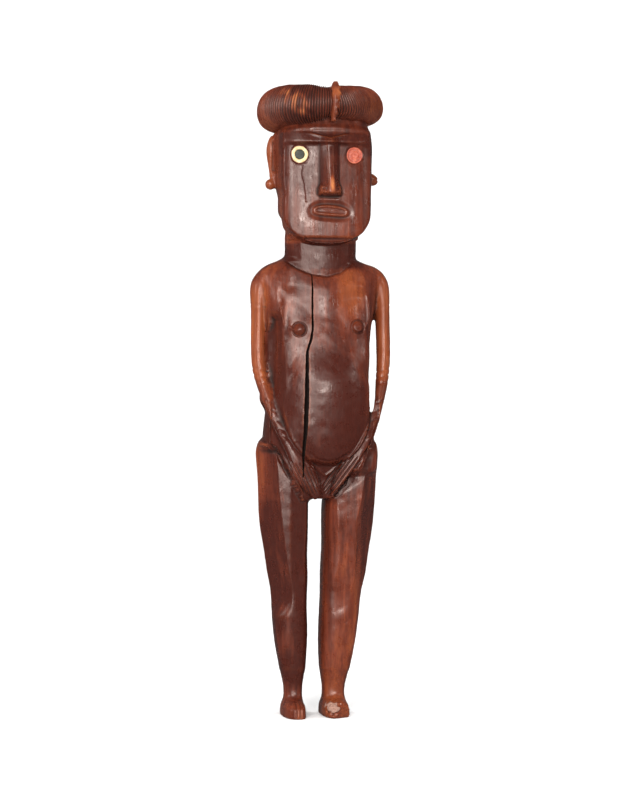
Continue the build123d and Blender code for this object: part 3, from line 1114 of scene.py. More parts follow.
    def note_wear(self, wood: Carving) -> None:
        """Notes where hands have rubbed the head, where it has split, and where shade is painted dark over the
        eyes and under the jaw.

        Args:
            wood: The block being carved.
        """
        x, y, z = wood.at.T
        tip = swell(np.sqrt((x - 1.6) ** 2 + ((z - 331.5) / 3.0) ** 2), 2.4) * rise(y, -32.0, -34.5)
        wood.mark("worn", 1.0 * tip)
        wood.mark("worn", 0.22 * rise(-x, 29.6, 31.5) * (z < 366.0) + 0.1 * rise(x, 31.2, 33.0) * (z < 345.0))
        wood.mark("worn", 0.12 * band(z, 296.0, 325.0, 12.0) + 0.08 * band(z, 330.0, 352.0, 10.0) * (x > 6))
        # Painted shade: the band across the brow and over the eyes, and the neck below the jaw, are painted
        # dark.
        wood.mark("dark", 0.5 * band(z, 352.0, 362.5, 3.0) * (y < -15.0) + 1.6 * rise(z, 298.0, 294.0))
        wood.mark("dark", 0.35 * (y < -19.0) * band(z, 298.0, 352.0, 4.0))
        gap, _ = from_line(wood.at, [(-15.0, 343.5), (-15.6, 338.0), (-14.0, 332.0), (-13.2, 321.5)])
        split = np.clip(1.0 - gap / 0.5, 0.0, 1.0) * (wood.out[:, 1] < -0.3)
        wood.press(0.45 * split)


# --- The body


@dataclass
class Body:
    """Neck, trunk, arms, hands, legs and feet."""

    leg_cut: float = 136.6
    grain: float = 0.90
    belly_centre: tuple[float, float] = (0.6, 198.5)
    belly_radii: tuple[float, float] = (28.0, 39.5)
    arm_gap: tuple[tuple[float, float, float], ...] = (
        (34.4, 254.0, 0.5),
        (34.3, 246.0, 2.4),
        (34.0, 236.0, 4.0),
        (33.9, 225.0, 4.6),
        (33.5, 210.0, 4.6),
        (33.3, 200.0, 4.2),
        (33.0, 194.0, 3.0),
        (32.7, 187.5, 0.5),
    )
    crack: tuple[tuple[float, float, float, float], ...] = (
        (-8.6, 277.0, -13.0, 0.35),
        (-8.7, 262.0, -14.0, 0.65),
        (-8.8, 243.0, -14.0, 0.70),
        (-9.8, 237.0, -15.0, 0.75),
        (-12.4, 229.0, -16.0, 0.90),
        (-13.4, 214.0, -17.0, 1.20),
        (-13.6, 200.0, -17.0, 1.45),
        (-14.2, 180.0, -17.0, 1.35),
        (-14.8, 168.0, -16.0, 1.0),
        (-15.0, 150.0, -16.0, 0.35),
    )
    crack_skin: Path = (
        (150.0, -18.0),
        (168.0, -23.0),
        (180.0, -26.0),
        (200.0, -27.0),
        (214.0, -25.0),
        (229.0, -23.0),
        (243.0, -20.5),
        (262.0, -18.0),
        (277.0, -15.0),
    )
    saw_slant: float = 4.0
    saw_reach: float = 20.0
    crack_step: float = 1.6
    crack_waver: float = 0.12
    crack_front: float = -45.0
    leg_tops: Path = (
        (-40.0, 175.0),
        (-31.0, 168.0),
        (-22.0, 151.0),
        (-14.0, 136.0),
        (3.4, 136.0),
        (14.0, 150.0),
        (26.0, 167.0),
        (33.0, 174.0),
    )
    right_ridge: Sequence[Point] = (
        (-27.6, -17.4, 172.0),
        (-27.0, -16.9, 147.0),
        (-25.2, -15.4, 122.0),
        (-22.6, -13.3, 98.0),
        (-19.6, -11.6, 79.0),
    )
    left_ridge: Sequence[Point] = (
        (26.5, -16.0, 156.0),
        (23.8, -16.3, 137.0),
        (20.6, -16.2, 124.0),
        (20.0, -13.7, 98.0),
        (19.4, -10.9, 75.0),
    )

    def build(self, node: bpy.types.Object, neck: Neck) -> Carving:
        """Carves the body.

        Args:
            node: The CAD figure.
            neck: The neck that the body's block shares with the head.

        Returns:
            The carved body, with some of the head to saw off.
        """
        wood = Carving.from_node("body_block", node, -1.0, neck.joint + neck.overlap)
        self.free_arm(wood)
        wood.even_out(self.grain)
        wood.ease(5)
        self.clear_chest(wood)
        self.plane_legs(wood)
        self.shape_trunk(wood, neck)
        neck.carve(wood)
        wood.ease(1, 0.4)
        x, y, z = wood.at.T
        hands = (z > 134.0) & (z < 182.0) & (y < -10.0)
        toes = (z < 14.0) & (y < -4.0)
        nipples = (np.hypot(np.abs(x - 1.2) - 18.8, z - 243.5) < 7.0) & (y < -15.0)
        collar = (np.abs(x) < 24.0) & (z > 268.0) & (z < 290.0) & (y < -8.0)
        wood.refine(hands | toes | nipples | collar)
        self.carve_hands(wood)
        self.carve_chest(wood)
        self.carve_arms(wood)
        self.carve_knees(wood)
        self.carve_feet(wood)
        wood.press(0.10 * ripple(wood.at, 24.0, 7) + 0.035 * ripple(wood.at, 6.0, 8))
        wood.write()
        self.split_crack(wood)
        self.note_wear(wood)
        return wood

    def free_arm(self, wood: Carving) -> None:
        """Saws the left arm free of the trunk as far as it stands free.

        Args:
            wood: The block being carved.
        """
        stations = []
        slant, reach = self.saw_slant, self.saw_reach
        for x, z, wide in self.arm_gap:
            inner, outer = x - wide / 2, x + wide / 2
            front = [(inner - slant, -reach, z), (outer - slant, -reach, z)]
            stations.append([*front, (outer + slant, reach, z), (inner + slant, reach, z)])
        wood.cut_with(wedge("gap_blade", stations))

    def split_crack(self, wood: Carving) -> None:
        """Splits the trunk with a long drying crack, cut as a wavering wedge.

        Args:
            wood: The block being carved.
        """
        known = np.array(self.crack)[::-1]
        rng = np.random.default_rng(5)
        stations = []
        front, waver = self.crack_front, self.crack_waver
        for z in np.arange(self.crack[0][1], self.crack[-1][1], -self.crack_step):
            x, back, half = (float(np.interp(z, known[:, 1], known[:, k])) for k in (0, 2, 3))
            skin = float(through(self.crack_skin, z))
            left = x - half + rng.uniform(-waver, waver)
            right = x + half + rng.uniform(-waver, waver)
            mouth = [(left, front, z), (right, front, z), (right, skin, z)]
            stations.append([*mouth, (x, back, z), (left, skin, z)])
        wood.cut_with(wedge("crack_blade", stations))
        wood.drop_chips()
        faces = wood.obj.data.polygons
        centres, ways = vectors(faces, "center") / MM, vectors(faces, "normal")
        middle, half = (np.interp(centres[:, 2], known[:, 1], known[:, k]) for k in (0, 3))
        inside = (np.abs(centres[:, 0] - middle) < half + 0.3) & (np.abs(ways[:, 0]) > 0.8)
        inside &= centres[:, 1] < -8.0
        inside &= (centres[:, 2] > self.crack[-1][1]) & (centres[:, 2] < self.crack[0][1])
        # The crack's walls are noted here; the wood's finish paints them near-black as shade inside the crack.
        layer = wood.obj.data.attributes.new("split", "FLOAT", "FACE")
        layer.data.foreach_set("value", inside.astype(np.float32))

    def clear_chest(self, wood: Carving) -> None:
        """Takes the plain breasts down to the chest and rounds the ankles.

        Args:
            wood: The block being carved.
        """
        x, y, z = wood.at.T
        flat = -29.8 + 0.16 * (z - 214.0) + 0.0088 * (x - 0.5) ** 2
        part = band(z, 224.0, 263.0, 9.0) * rise(np.abs(x), 31.0, 25.0) * (y < -12.0)
        wood.push_back((flat - y) * part * wood.facing())
        wood.write()
        breasts = band(wood.at[:, 2], 216.0, 272.0, 6.0) * rise(np.abs(wood.at[:, 0]), 32.0, 26.0)
        wood.ease(12, 0.6, breasts * (wood.at[:, 1] < -8.0))
        wood.ease(110, 0.7, band(wood.at[:, 2], 16.0, 25.0, 5.0))
        wood.ease(40, 0.6, band(wood.at[:, 2], 9.5, 20.0, 3.5))

    def plane_legs(self, wood: Carving) -> None:
        """Draws the legs apart and planes their long facets.

        Args:
            wood: The block being carved.
        """
        x, _, z = wood.at.T
        low = rise(z, 137.5, 134.0)
        wood.at[:, 0] -= 1.7 * low * rise(x, -15.0, -8.0) * (x < -3.0)
        wood.at[:, 0] -= 1.1 * low * rise(-x, -10.0, -2.0) * (x > -3.0)
        top = through(self.leg_tops, x)
        right, left = (z < top) & (x < -3.0), (z < top) & (x > -3.0)
        to_knee = [*self.right_ridge, (-19.6, -11.9, 62.0)]
        wood.plane((-0.90, -0.44), to_knee, right)
        wood.plane((0.22, -0.975), to_knee, right)
        bites = zip(self.right_ridge, (3.4, 3.0, 1.9, 0.8, 0.0))
        wood.plane((-0.27, -0.96), [(x0, y0 + bite, z0) for (x0, y0, z0), bite in bites], right)
        wood.plane((0.78, -0.63), [*self.left_ridge, (18.6, -10.4, 60.0)], left)
        front = [(x0, y0 + 0.2, z0) for x0, y0, z0 in self.left_ridge]
        wood.plane((-0.04, -1.0), [*front, (18.0, -10.3, 60.0)], left)
        wood.write()

    def shape_trunk(self, wood: Carving, neck: Neck) -> None:
        """Swells the belly over the groin, planes the trunk's right side and lifts the chest.

        Args:
            wood: The body's block.
            neck: The neck, whose collar the chest rises to.
        """
        x, y, z = wood.at.T
        front = wood.facing()
        cx, cz = self.belly_centre
        rx, rz = self.belly_radii
        edge = np.hypot((x - cx) / rx, (z - cz) / rz)
        egg = -25.5 + 0.006 * x**2 - 7.5 * np.sqrt(np.clip(1.0 - edge**2, 0.0, 1.0))
        wood.push_back(-np.clip(y - egg, 0.0, 9.0) * front * rise(edge, 1.0, 0.985) * rise(z, 232.0, 206.0))
        low = rise(z, 206.0, 180.0) * rise(z, 134.0, 150.0)
        wood.push_back(3.2 * rise(edge, 1.0, 1.04) * rise(edge, 1.55, 1.2) * low * front * (np.abs(x) < 34.0))
        trunk = (x > -34.2) & (x < -14.0) & (y < -2.0)
        edge_line = [(-27.0, -19.6, 254.0), (-26.6, -19.0, 236.0), (-26.6, -20.6, 214.0), (-27.2, -22.0, 196.0)]
        wood.plane((-0.90, -0.43), edge_line, trunk)
        x, y, z = wood.at.T
        side = (x < -24.0) & (x > -34.4) & (wood.out[:, 0] < -0.2) & (y > -12.0)
        wood.at[:, 0] -= 4.2 * side * band(z, 200.0, 250.0, 10.0) * rise(y, -12.0, -2.0)
        line = through(neck.collar, x)
        under = rise(z, line + 0.5, line - 0.5)
        chest = under * rise(z, line - 26.0, line - 4.0) * rise(np.abs(x), 31.0, 20.0)
        wood.push_back(-1.9 * chest * wood.facing())
        wood.write()

    def carve_hands(self, wood: Carving) -> None:
        """Cuts the fingers, the edge of the groin and the line where the hands meet.

        Args:
            wood: The block being carved.
        """
        for path in (
            [(-38.3, 173.9), (-30.7, 168.3), (-22.6, 152.5), (-14.6, 138.6)],
            [(32.6, 174.5), (26.0, 168.0), (14.0, 151.0), (3.4, 138.0)],
        ):
            wood.score(path, 1.5, 1.2, 0.05)
        right_starts = [(-23.3, 162.2), (-20.4, 160.0), (-17.4, 160.2), (-14.2, 159.8), (-11.0, 157.5)]
        right_ends = [(-12.2, 139.0), (-9.9, 138.3), (-7.7, 138.5), (-5.6, 139.8), (-3.6, 141.4)]
        left_starts = [(23.2, 162.5), (20.3, 164.4), (17.2, 165.2), (13.9, 164.2), (10.4, 161.6)]
        left_ends = [(2.2, 138.4), (0.6, 138.6), (-0.6, 139.8), (-1.3, 141.8), (-1.7, 144.4)]
        for starts, ends in ((right_starts, right_ends), (left_starts, left_ends)):
            for (x0, z0), (x1, z1) in zip(starts, ends):
                middle = ((x0 + x1) / 2 + 0.5 * np.sign(x1 - x0), (z0 + z1) / 2 - 0.5)
                wood.score([(x0, z0), middle, (x1, z1)], 0.62, 0.85, 0.10)
        wood.score([(-15.5, 168.0), (-8.0, 158.0), (0.2, 151.5), (8.0, 157.5), (16.0, 166.0)], 1.2, -0.7)
        wood.score([(-13.0, 166.8), (-6.0, 161.4), (0.5, 160.2), (7.0, 161.2), (15.0, 166.2)], 1.6, 0.9)
        wood.write()

    def carve_chest(self, wood: Carving) -> None:
        """Models the breasts' ridges and the round nipples.

        Args:
            wood: The block being carved.
        """
        x, _, z = wood.at.T
        front = wood.facing()
        right = [(-34.0, 269.0), (-27.0, 258.0), (-18.6, 246.0)]
        left = [(14.5, 262.0), (17.4, 253.0), (20.4, 246.5)]
        for ridge in (right, left):
            gap, share = from_line(wood.at, ridge)
            wood.push_back(-1.2 * swell(gap, 11.0) * rise(share, 0.0, 0.35) * front)
        for centre_x, centre_z in ((-17.0, 242.4), (20.0, 244.2)):
            gap = np.hypot(x - centre_x, z - centre_z)
            knob = np.sqrt(np.clip(1.0 - (gap / 3.5) ** 2, 0.0, 1.0))
            wood.push_back(-2.1 * knob * front)
            ring = np.clip(1.0 - np.abs(gap - 4.2) / 0.9, 0.0, 1.0)
            wood.push_back(0.75 * ring * front)
        wood.write()

    def carve_arms(self, wood: Carving) -> None:
        """Cuts the rings at the elbows and the nicks along the forearms.

        Args:
            wood: The block being carved.
        """
        x, y, z = wood.at.T
        on_arm = np.abs(x) > 34.6
        for level, depth in ((217.5, 0.45), (213.6, 0.40), (209.8, 0.35), (257.5, 0.25)):
            tilt = level + 0.25 * (np.abs(x) - 39.0)
            wood.press(depth * np.clip(1.0 - np.abs(z - tilt) / 0.9, 0.0, 1.0) * on_arm)
        for side in (-1.0, 1.0):
            for share, bite in ((0.15, 0.4), (0.32, 0.35), (0.5, 0.45), (0.66, 0.4), (0.80, 0.5)):
                fx, fz = side * (37.5 - 14.5 * share), 203.0 - 34.0 * share
                nick = [(fx - side * 3.5, fz - 1.6), (fx + side * 3.5, fz + 1.6)]
                wood.score(nick, 0.9, bite, 0.3)
            knob = np.hypot(x - side * 27.6, (z - 175.5) / 1.3)
            wood.push_back(-0.9 * swell(knob, 3.6) * wood.facing())
        wood.write()

    def carve_knees(self, wood: Carving) -> None:
        """Models the knees and the shins.

        Args:
            wood: The block being carved.
        """
        wood.ease(24, 0.6, band(wood.at[:, 2], 58.0, 78.0, 8.0) * (wood.at[:, 1] < 0.0))
        x, _, z = wood.at.T
        front = wood.facing()
        for kx, kz, high in ((-18.5, 52.0, 0.15), (-20.0, 64.0, 0.1), (11.5, 63.0, 0.25), (15.5, 66.0, 0.1)):
            wood.push_back(-high * swell(np.hypot(x - kx, (z - kz) / 0.9), 5.5) * front)
        wood.score([(11.0, 60.5), (14.5, 59.0), (17.0, 61.5)], 0.9, 0.45, 0.3)
        wood.write()

    def carve_feet(self, wood: Carving) -> None:
        """Parts the toes and roughens the broken foot.

        Args:
            wood: The block being carved.
        """
        x, y, z = wood.at.T
        before = rise(y, -8.0, -12.0)
        on_toes = before * band(z, 1.2, 9.5, 1.5) * (x < -3.0)
        for toe, deep in ((-20.6, 0.3), (-17.9, 0.8), (-15.3, 0.9), (-13.0, 0.6)):
            bend = toe + 0.05 * (z - 5.0)
            wood.press(deep * np.clip(1.0 - np.abs(x - bend) / 0.8, 0.0, 1.0) * on_toes)
        torn = (x > 0.5) & (y < -7.0) & (z < 12.0)
        rough = 0.35 * ripple(wood.at, 3.2, 21) + 0.22 * ripple(wood.at, 1.8, 22)
        edge_on = wood.out[:, 1] < -0.25
        wood.press(rough * torn * edge_on * (z > 0.8))
        wood.write()

    def note_wear(self, wood: Carving) -> None:
        """Notes where the wood is rubbed pale, where it is broken, and where shade is painted dark: the neck,
        the belly and the trunk's right side.

        Args:
            wood: The block being carved.
        """
        x, y, z = wood.at.T
        out = np.abs(x)
        arms = rise(out, 33.5, 37.0) * rise(z, 205.0, 216.0) * rise(z, 282.0, 262.0)
        wood.mark("worn", 0.34 * arms)
        wood.mark("worn", 0.20 * rise(x, 24.0, 38.0) * rise(z, 240.0, 275.0))
        chest = swell(np.hypot((x - 16.0) / 15.0, (z - 264.0) / 24.0), 1.0)
        wood.mark("worn", 0.34 * chest * (y < 0))
        hips = rise(out, 32.0, 37.0) * band(z, 125.0, 168.0, 8.0)
        wood.mark("worn", 0.22 * hips)
        shins = band(x, 2.0, 22.0, 5.0) * band(z, 20.0, 135.0, 14.0) * (y < 8)
        wood.mark("worn", 0.20 * shins)
        wood.mark("worn", 0.20 * rise(z, 26.0, 8.0))
        wood.mark("worn", 0.15 * band(z, 45.0, 66.0, 8.0) * band(x, -24.0, -12.0, 4.0) * (y < 0))
        centre = np.sqrt(((x - 5.6) / 3.7) ** 2 + ((z - 6.6) / 2.9) ** 2)
        torn = rise(centre + 0.13 * ripple(wood.at, 3.0, 23), 1.08, 0.85)
        wood.mark("scar", torn * (y < -7.0) * (x > 0.3) * (z < 13.0) * (wood.out[:, 1] < 0.0))
        # Painted shade with darker wood: the belly is painted dark all over, fading out at its rim.
        belly = rise(np.hypot((x - 2.0) / 30.0, (z - 186.0) / 52.0), 1.0, 0.55) * (y < 0)
        wood.mark("dark", 1.0 * belly + 0.5 * band(x, -17.0, -6.5, 3.0) * band(z, 30.0, 132.0, 14.0))
        groin = 0.5 * band(z, 138.0, 168.0, 6.0) * (out < 16.0)
        # Painted shade: the neck above the collar is painted dark, as shade under the jaw; the band over the
        # groin is darker too.
        wood.mark("dark", 1.6 * rise(z, 279.0, 285.0) * rise(out, 27.0, 21.0) + groin)
        # Painted shade: the strip of the trunk's right side that faces sideways is painted dark.
        flank = 0.6 * band(x, -36.0, -24.0, 3.0) * band(z, 172.0, 250.0, 10.0)
        wood.mark("dark", flank * (wood.out[:, 0] < -0.3))
        wood.mark("dark", 0.5 * band(x, -30.0, -12.0, 4.0) * band(z, 140.0, 196.0, 8.0) * (y < -14.0))
        wood.mark("dark", 0.35 * band(z, 60.0, 126.0, 12.0) * (x < -18.0) + 0.2 * (z < 136.0))


# --- The hair


@dataclass
class Hair:
    """The rolled hair with its cut strands, the crown inside the roll and the standing lock."""

    half_width: float = 40.0
    half_depth: float = 36.4
    right_radius: float = 15.0
    left_radius: float = 12.4
    parting_radius: float = 9.8
    top: float = 395.3
    parting_drop: float = 3.2
    strands: int = 128
    steps_per_strand: int = 6
    round_steps: int = 72
    groove: float = 1.5
    lean: float = 0.25
    lock_x: float = 3.4
    crown_radius: float = 27.0
    crown_top: float = 389.6

    def build_roll(self) -> Carving:
        """Spins the roll and cuts its strands.

        Returns:
            The roll.
        """
        bm = bmesh.new()
        circle = bmesh.ops.create_circle(bm, cap_ends=False, segments=self.round_steps, radius=10.0)["verts"]
        bmesh.ops.rotate(bm, cent=(0, 0, 0), matrix=Matrix.Rotation(math.pi / 2, 3, "X"), verts=circle)
        bmesh.ops.translate(bm, vec=(30.0, 0, 0), verts=circle)
        steps = self.strands * self.steps_per_strand
        bmesh.ops.spin(
            bm,
            geom=bm.verts[:] + bm.edges[:],
            cent=(0, 0, 0),
            axis=(0, 0, 1),
            angle=2 * math.pi,
            steps=steps,
            use_merge=True,
        )
        wood = Carving(new_object("hair_roll", bm))
        x, y, z = wood.at.T
        turn = np.arctan2(y, x)
        tube = np.arctan2(z, np.hypot(x, y) - 30.0)
        aside = np.cos(turn)
        full = np.abs(aside) ** 0.62
        radius = np.where(aside < 0, self.right_radius, self.left_radius)
        radius = self.parting_radius + (radius - self.parting_radius) * full
        path_x = self.half_width - np.where(aside < 0, self.right_radius, self.left_radius)
        path_y = self.half_depth - self.parting_radius
        lift = self.top - self.parting_drop * (1.0 - full) - radius
        lean = self.lean * np.where(aside > 0.0, 1.0, 0.2)
        phase = turn - lean * np.sin(2.0 * turn) * rise(np.sin(tube), -0.7, 1.0)
        number = np.floor(self.strands * phase / (2.0 * math.pi))
        cut = np.abs(np.sin(0.5 * self.strands * phase + 0.22 * np.sin(7.0 * turn + 2.0 * tube)))
        uneven = 0.82 + 0.18 * np.sin(2.4 * number)
        valley = 1.0 - cut
        depth = self.groove * (1.0 + 0.45 * np.abs(aside) ** 3) * uneven * valley
        depth += 0.10 * ripple(np.stack([30 * np.cos(turn), 30 * np.sin(turn), 12 * tube], 1), 9.0, 31)
        swollen = radius - depth
        flat = 1.0 - 0.10 * rise(-np.sin(tube), 0.3, 1.0)
        wood.at[:, 0] = (path_x + swollen * np.cos(tube)) * np.cos(turn)
        wood.at[:, 1] = (path_y + swollen * np.cos(tube)) * np.sin(turn)
        wood.at[:, 2] = lift + swollen * np.sin(tube) * flat
        wood.write()
        x, y, z = wood.at.T
        patch = swell(np.hypot((x + 21.5 + 0.5 * (z - 384.0)) / 9.5, (z - 383.0) / 12.0), 1.0) * (y < -12.0)
        streaky = 0.6 + 0.4 * np.sin(1.9 * number) + 0.35 * ripple(wood.at, 7.0, 33)
        # Painted shade: the grooves between the strands are noted as hollows and painted dark.
        wood.mark("hollow", np.clip(2.2 * valley - 0.15, 0.0, 1.0))
        wood.mark("worn", 0.75 * rise(patch, 0.0, 0.5) * np.clip(streaky, 0.0, 1.0))
        wood.mark("worn", 0.30 * rise(x, 14.0, 34.0))
        wood.mark("worn", 0.12 * rise(x, -20.0, -36.0))
        return wood

    def build_crown(self) -> Carving:
        """Domes the crown inside the roll and combs it outwards from the parting.

        Returns:
            The crown.
        """
        bm = bmesh.new()
        bmesh.ops.create_uvsphere(bm, u_segments=160, v_segments=90, radius=1.0)
        bmesh.ops.scale(bm, vec=(self.crown_radius, self.crown_radius, 9.0), verts=bm.verts)
        bmesh.ops.translate(bm, vec=(0, 0, self.crown_top - 9.0), verts=bm.verts)
        wood = Carving(new_object("crown", bm))
        x, y, _ = wood.at.T
        comb = np.abs(np.sin(math.pi * (y + 0.12 * np.abs(x)) / 1.9))
        wood.press(0.35 * (1.0 - comb**0.85) * rise(np.abs(x - self.lock_x + 1.5), 0.4, 2.0))
        wood.press(1.1 * np.clip(1.0 - np.abs(x - 0.5) / 1.6, 0.0, 1.0))
        wood.write()
        return wood

    def build_lock(self) -> Carving:
        """Draws out the lock that stands in the parting, with its row of knots.

        Returns:
            The lock.
        """
        stations = []
        count = 44
        for k in range(count + 1):
            share = k / count
            z = 370.6 + 25.4 * share
            knots = 0.5 + 0.5 * math.cos(2 * math.pi * 6.0 * share)
            wide = np.interp(share, [0, 0.08, 0.35, 0.62, 0.82, 0.94, 1.0], [1.0, 1.7, 2.1, 3.1, 2.8, 1.9, 0.7])
            deep = np.interp(share, [0, 0.3, 0.7, 0.92, 1.0], [3.2, 4.2, 4.6, 3.0, 0.8])
            x = self.lock_x + np.interp(share, [0, 0.5, 1.0], [-0.9, 0.3, 1.4]) + 0.3 * knots
            y = np.interp(share, [0, 0.25, 0.6, 0.85, 1.0], [-32.2, -34.0, -33.0, -29.5, -27.0])
            stations.append((x, y, z, wide + 0.45 * knots, deep + 0.35 * knots))
        wood = Carving(new_object("standing_lock", drawn_out(stations, 40)))
        x, _, z = wood.at.T
        line = ((370.6, self.lock_x - 0.9), (384.0, self.lock_x + 0.6), (396.0, self.lock_x + 1.6))
        seam = np.clip(1.0 - np.abs(x - through(line, z)) / 0.5, 0.0, 1.0)
        wood.press(0.45 * seam * (wood.out[:, 1] < -0.2))
        wood.ease(1, 0.4)
        wood.mark("worn", 0.12 + 0.35 * swell(np.abs(z - 388.0), 5.0))
        return wood


# --- The eyes


@dataclass
class Eyes:
    """The wax beds in both sockets, and the shell ring with its dark plug in the right one."""

    x: float = 17.2
    level: float = 350.5
    face_y: float = -25.7
    socket_depth: float = 3.3
    ring_radius: float = 5.2
    hole_radius: float = 3.1
    ring_proud: float = 0.35
    steps: int = 96

    def centre(self, side: Side) -> Vector:
        """The middle of a socket, on the face."""
        return Vector((side.value * self.x, self.face_y, self.level))

    def build_right_wax(self) -> Carving:
        """The wax that holds the shell ring.

        Returns:
            The wax.
        """
        deep = -self.socket_depth
        profile = [
            (0.0, deep), (5.3, deep), (5.6, -0.3), (5.55, 0.02),
            (5.3, 0.06), (5.0, -0.1), (4.6, -1.1), (0.0, -1.1),
        ]
        return self.cast("right_wax", profile, Side.RIGHT, 0.012)

    def build_left_wax(self) -> Carving:
        """The bare wax, with the print of the lost ring and a small ring in its middle.

        Returns:
            The wax.
        """
        deep = -self.socket_depth
        profile = [
            (0.0, deep), (4.8, deep), (5.1, -0.3), (5.0, 0.12), (4.7, 0.26),
            (4.4, 0.22), (4.05, -0.14), (3.6, -0.22), (3.0, -0.16), (2.55, -0.06),
            (2.2, 0.20), (1.8, 0.20), (1.45, -0.16), (0.8, -0.10), (0.0, -0.02),
        ]
        return self.cast("left_wax", profile, Side.LEFT, 0.02)

    def build_ring(self) -> Carving:
        """The hand-cut shell ring.

        Returns:
            The ring.
        """
        top = self.ring_proud
        profile = [
            (self.hole_radius, -0.9), (self.ring_radius, -0.9), (self.ring_radius, top - 0.25),
            (self.ring_radius - 0.3, top), (self.hole_radius + 0.5, top), (self.hole_radius, top - 0.3),
        ]
        return self.cast("shell_ring", profile, Side.RIGHT, 0.028)

    def build_plug(self) -> Carving:
        """The domed dark plug in the ring's hole.

        Returns:
            The plug.
        """
        wide = self.hole_radius - 0.02
        profile = [(0.0, -0.85), (wide, -0.85), (wide, -0.2), (2.6, 0.0), (1.8, 0.08), (0.9, 0.12), (0.0, 0.13)]
        return self.cast("eye_plug", profile, Side.RIGHT, 0.035)

    def cast(self, name: str, profile: Path, side: Side, uneven: float) -> Carving:
        """Makes one round inlay with a hand-made outline.

        Args:
            name: The piece's name.
            profile: Its outline from the axis out, as (radius, proud of the face).
            side: The socket it lies in.
            uneven: How much its outline wavers.

        Returns:
            The inlay.
        """

        def wobble(angle: float) -> float:
            """How much wider than true the outline is at an angle."""
            waves = ((3, 0.5, 1.0), (7, 0.3, 0.0), (11, 0.2, 2.0))
            return 1.0 + uneven * sum(high * math.sin(n * angle + start) for n, high, start in waves)

        bm = turned(profile, self.centre(side), self.steps, wobble)
        sharp = [e for e in bm.edges if e.calc_length() > 0.6]
        bmesh.ops.subdivide_edges(bm, edges=sharp, cuts=3, use_grid_fill=True)
        piece = Carving(new_object(name, bm))
        piece.press(0.05 * ripple(piece.at, 1.6, len(name)) * (piece.out[:, 1] < -0.5))
        piece.write()
        return piece


# --- The stage


@dataclass
class Studio:
    """Pale floor, soft lights and the camera."""

    distance: float = 1.36
    turn: float = -10.0
    aim: float = 0.1987
    lens: float = 97.0

    def build(self) -> None:
        """Sets up the floor, the lights, the surroundings and the camera."""
        self.lay_floor()
        white = (1.0, 1.0, 1.0)
        self.hang_light("key", (-0.62, -1.36, 0.78), (0.40, 0.80), 20.0, (1.0, 0.98, 0.96))
        self.hang_light("front", (0.02, -1.55, 0.46), (0.15, 0.20), 11.0, (1.0, 0.98, 0.96))
        self.hang_light("low", (-0.54, -1.36, 0.11), (0.24, 0.20), 4.5, (1.0, 0.98, 0.96))
        self.hang_light("side", (-1.22, -0.32, 0.62), (0.22, 0.34), 3.0, (1.0, 0.97, 0.95), (0.0, 0.0, 0.33))
        self.hang_light("fill", (1.15, -0.80, 0.66), (0.08, 0.40), 2.0, (1.0, 0.97, 0.94), (0.0, 0.0, 0.30))
        self.hang_light("top", (0.1, -0.35, 1.5), (0.9, 0.7), 11.0, white, (0.0, 0.1, 0.2), False)
        self.hang_light("left_wall", (-1.6, 0.6, 1.2), (0.8, 1.6), 30.0, white, (0.6, 1.9, 0.5), False)
        self.hang_light("right_wall", (1.6, 0.6, 1.2), (0.8, 1.6), 30.0, white, (-0.6, 1.9, 0.5), False)
        world = bpy.data.worlds.new("surroundings")
        world.use_nodes = True
        world.node_tree.nodes["Background"].inputs["Color"].default_value = (1.0, 1.0, 1.0, 1.0)
        world.node_tree.nodes["Background"].inputs["Strength"].default_value = 0.12
        bpy.context.scene.world = world
        data = bpy.data.cameras.new("camera")
        data.lens = self.lens
        data.sensor_width = 36.0
        camera = bpy.data.objects.new("camera", data)
        bpy.context.scene.collection.objects.link(camera)
        turn = math.radians(self.turn)
        camera.location = (math.sin(turn) * self.distance, -math.cos(turn) * self.distance, self.aim)
        camera.rotation_euler = (math.pi / 2, 0.0, turn)
        bpy.context.scene.camera = camera
        bpy.context.scene.view_settings.view_transform = "Standard"

    def lay_floor(self) -> None:
        """Lays a wide pale floor that curves up into a wall behind the figure."""
        bm = bmesh.new()
        bmesh.ops.create_grid(bm, x_segments=1, y_segments=60, size=1.0)
        for v in bm.verts:
            along = (v.co.y + 1.0) / 2.0 * 5.0 - 0.5
            v.co.x *= 1.35
            bend = min(max((along - 1.4) / 1.57, 0.0), math.pi / 2)
            v.co.y = min(along, 1.4) + math.sin(bend)
            v.co.z = (1.0 - math.cos(bend)) + max(along - 1.4 - 1.57 * math.pi / 2, 0.0)
        floor_mesh = bpy.data.meshes.new("floor")
        bm.to_mesh(floor_mesh)
        bm.free()
        floor_mesh.shade_smooth()
        floor = bpy.data.objects.new("floor", floor_mesh)
        floor.visible_glossy = False
        bpy.context.scene.collection.objects.link(floor)
        s = Shader("floor_paint")
        s.join((0.94, 0.94, 0.94, 1.0), s.surface.inputs["Base Color"])
        s.join(0.8, s.surface.inputs["Roughness"])
        s.join(0.1, s.surface.inputs["Specular IOR Level"])
        floor_mesh.materials.append(s.material)

    def hang_light(
        self,
        name: str,
        spot: tuple[float, float, float],
        size: tuple[float, float],
        watts: float,
        colour: tuple[float, float, float],
        aim: tuple[float, float, float] = (0.0, 0.0, 0.21),
        glints: bool = True,
    ) -> None:
        """Hangs one softbox.

        Args:
            name: The light's name.
            spot: Where it hangs.
            size: Its width and height.
            watts: Its power.
            colour: Its colour.
            aim: Where it points.
            glints: Whether polished things mirror it.
        """
        data = bpy.data.lights.new(name, "AREA")
        data.shape = "RECTANGLE"
        data.size, data.size_y = size
        data.energy = watts
        data.color = colour
        light = bpy.data.objects.new(name, data)
        bpy.context.scene.collection.objects.link(light)
        light.location = spot
        light.visible_glossy = glints
        light.rotation_euler = (Vector(aim) - Vector(spot)).to_track_quat("-Z", "Y").to_euler()


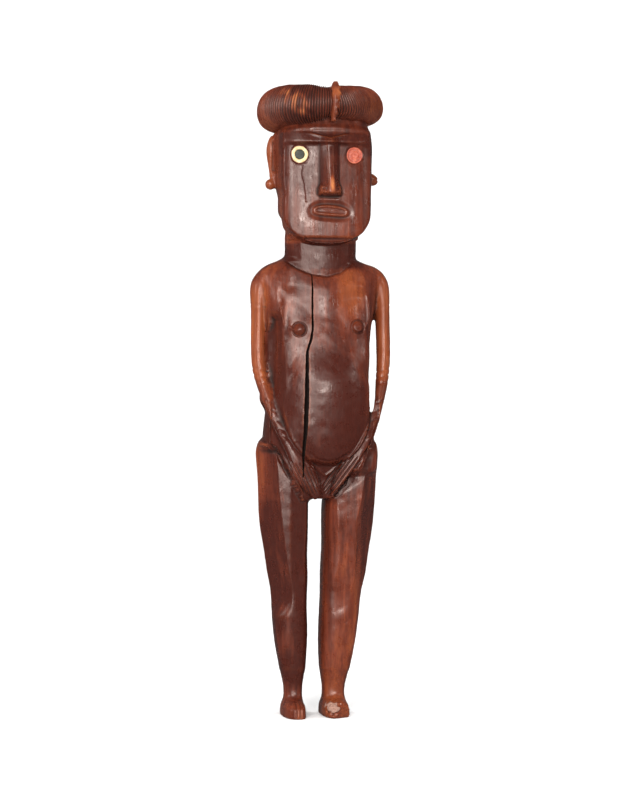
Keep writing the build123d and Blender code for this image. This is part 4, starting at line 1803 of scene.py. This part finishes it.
def main() -> None:
    """Builds the figure and its stage in order."""
    logging.basicConfig(level=logging.INFO, format="%(message)s")
    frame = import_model()
    block = frame["nodes"]["carved_figure"]
    wood = CarvedWood().build("carved_wood")
    wax = Inlay(
        base=(0.36, 0.055, 0.026, 1.0),
        second=(0.52, 0.13, 0.07, 1.0),
        stain_and_shade=(0.14, 0.020, 0.012, 1.0),
        roughness=0.45,
        speckle=1900.0,
        depth=0.0003,
    )
    dark_wax = Inlay(
        base=(0.09, 0.02, 0.012, 1.0),
        second=(0.20, 0.05, 0.025, 1.0),
        stain_and_shade=(0.02, 0.01, 0.006, 1.0),
        roughness=0.5,
        speckle=2200.0,
        depth=0.0002,
    )
    shell = Inlay(
        base=(0.62, 0.46, 0.22, 1.0),
        second=(0.70, 0.60, 0.38, 1.0),
        stain_and_shade=(0.34, 0.19, 0.06, 1.0),
        roughness=0.36,
        speckle=1500.0,
        depth=0.00012,
    )
    resin = Inlay(
        base=(0.020, 0.022, 0.015, 1.0),
        second=(0.035, 0.038, 0.026, 1.0),
        stain_and_shade=(0.06, 0.055, 0.03, 1.0),
        roughness=0.5,
        speckle=2600.0,
        depth=0.0001,
    )

    neck = Neck()
    head = Head()
    head_block = head.build(block, neck)
    head_block.finish()
    body = Body()
    body_block = body.build(block, neck)
    body_block.finish()
    for part in (
        head_block.cut_out("head", neck.joint, 420.0),
        body_block.cut_out("trunk_and_arms", body.leg_cut, neck.joint),
        body_block.cut_out("legs", -10.0, body.leg_cut),
    ):
        dress(part, wood, "carved_figure")
    head_block.discard()
    body_block.discard()
    hair = Hair()
    for piece in (hair.build_roll(), hair.build_crown(), hair.build_lock()):
        dress(piece.finish(), wood, "carved_figure")
    eyes = Eyes()
    dress(eyes.build_right_wax().finish(), dark_wax.build("dark_wax"), "right_eye_wax")
    dress(eyes.build_left_wax().finish(), wax.build("red_wax"), "left_eye_wax")
    dress(eyes.build_ring().finish(), shell.build("shell"), "right_eye_ring")
    dress(eyes.build_plug().finish(), resin.build("dark_resin"), "right_eye_plug")
    Studio().build()


if __name__ == "__main__":
    main()
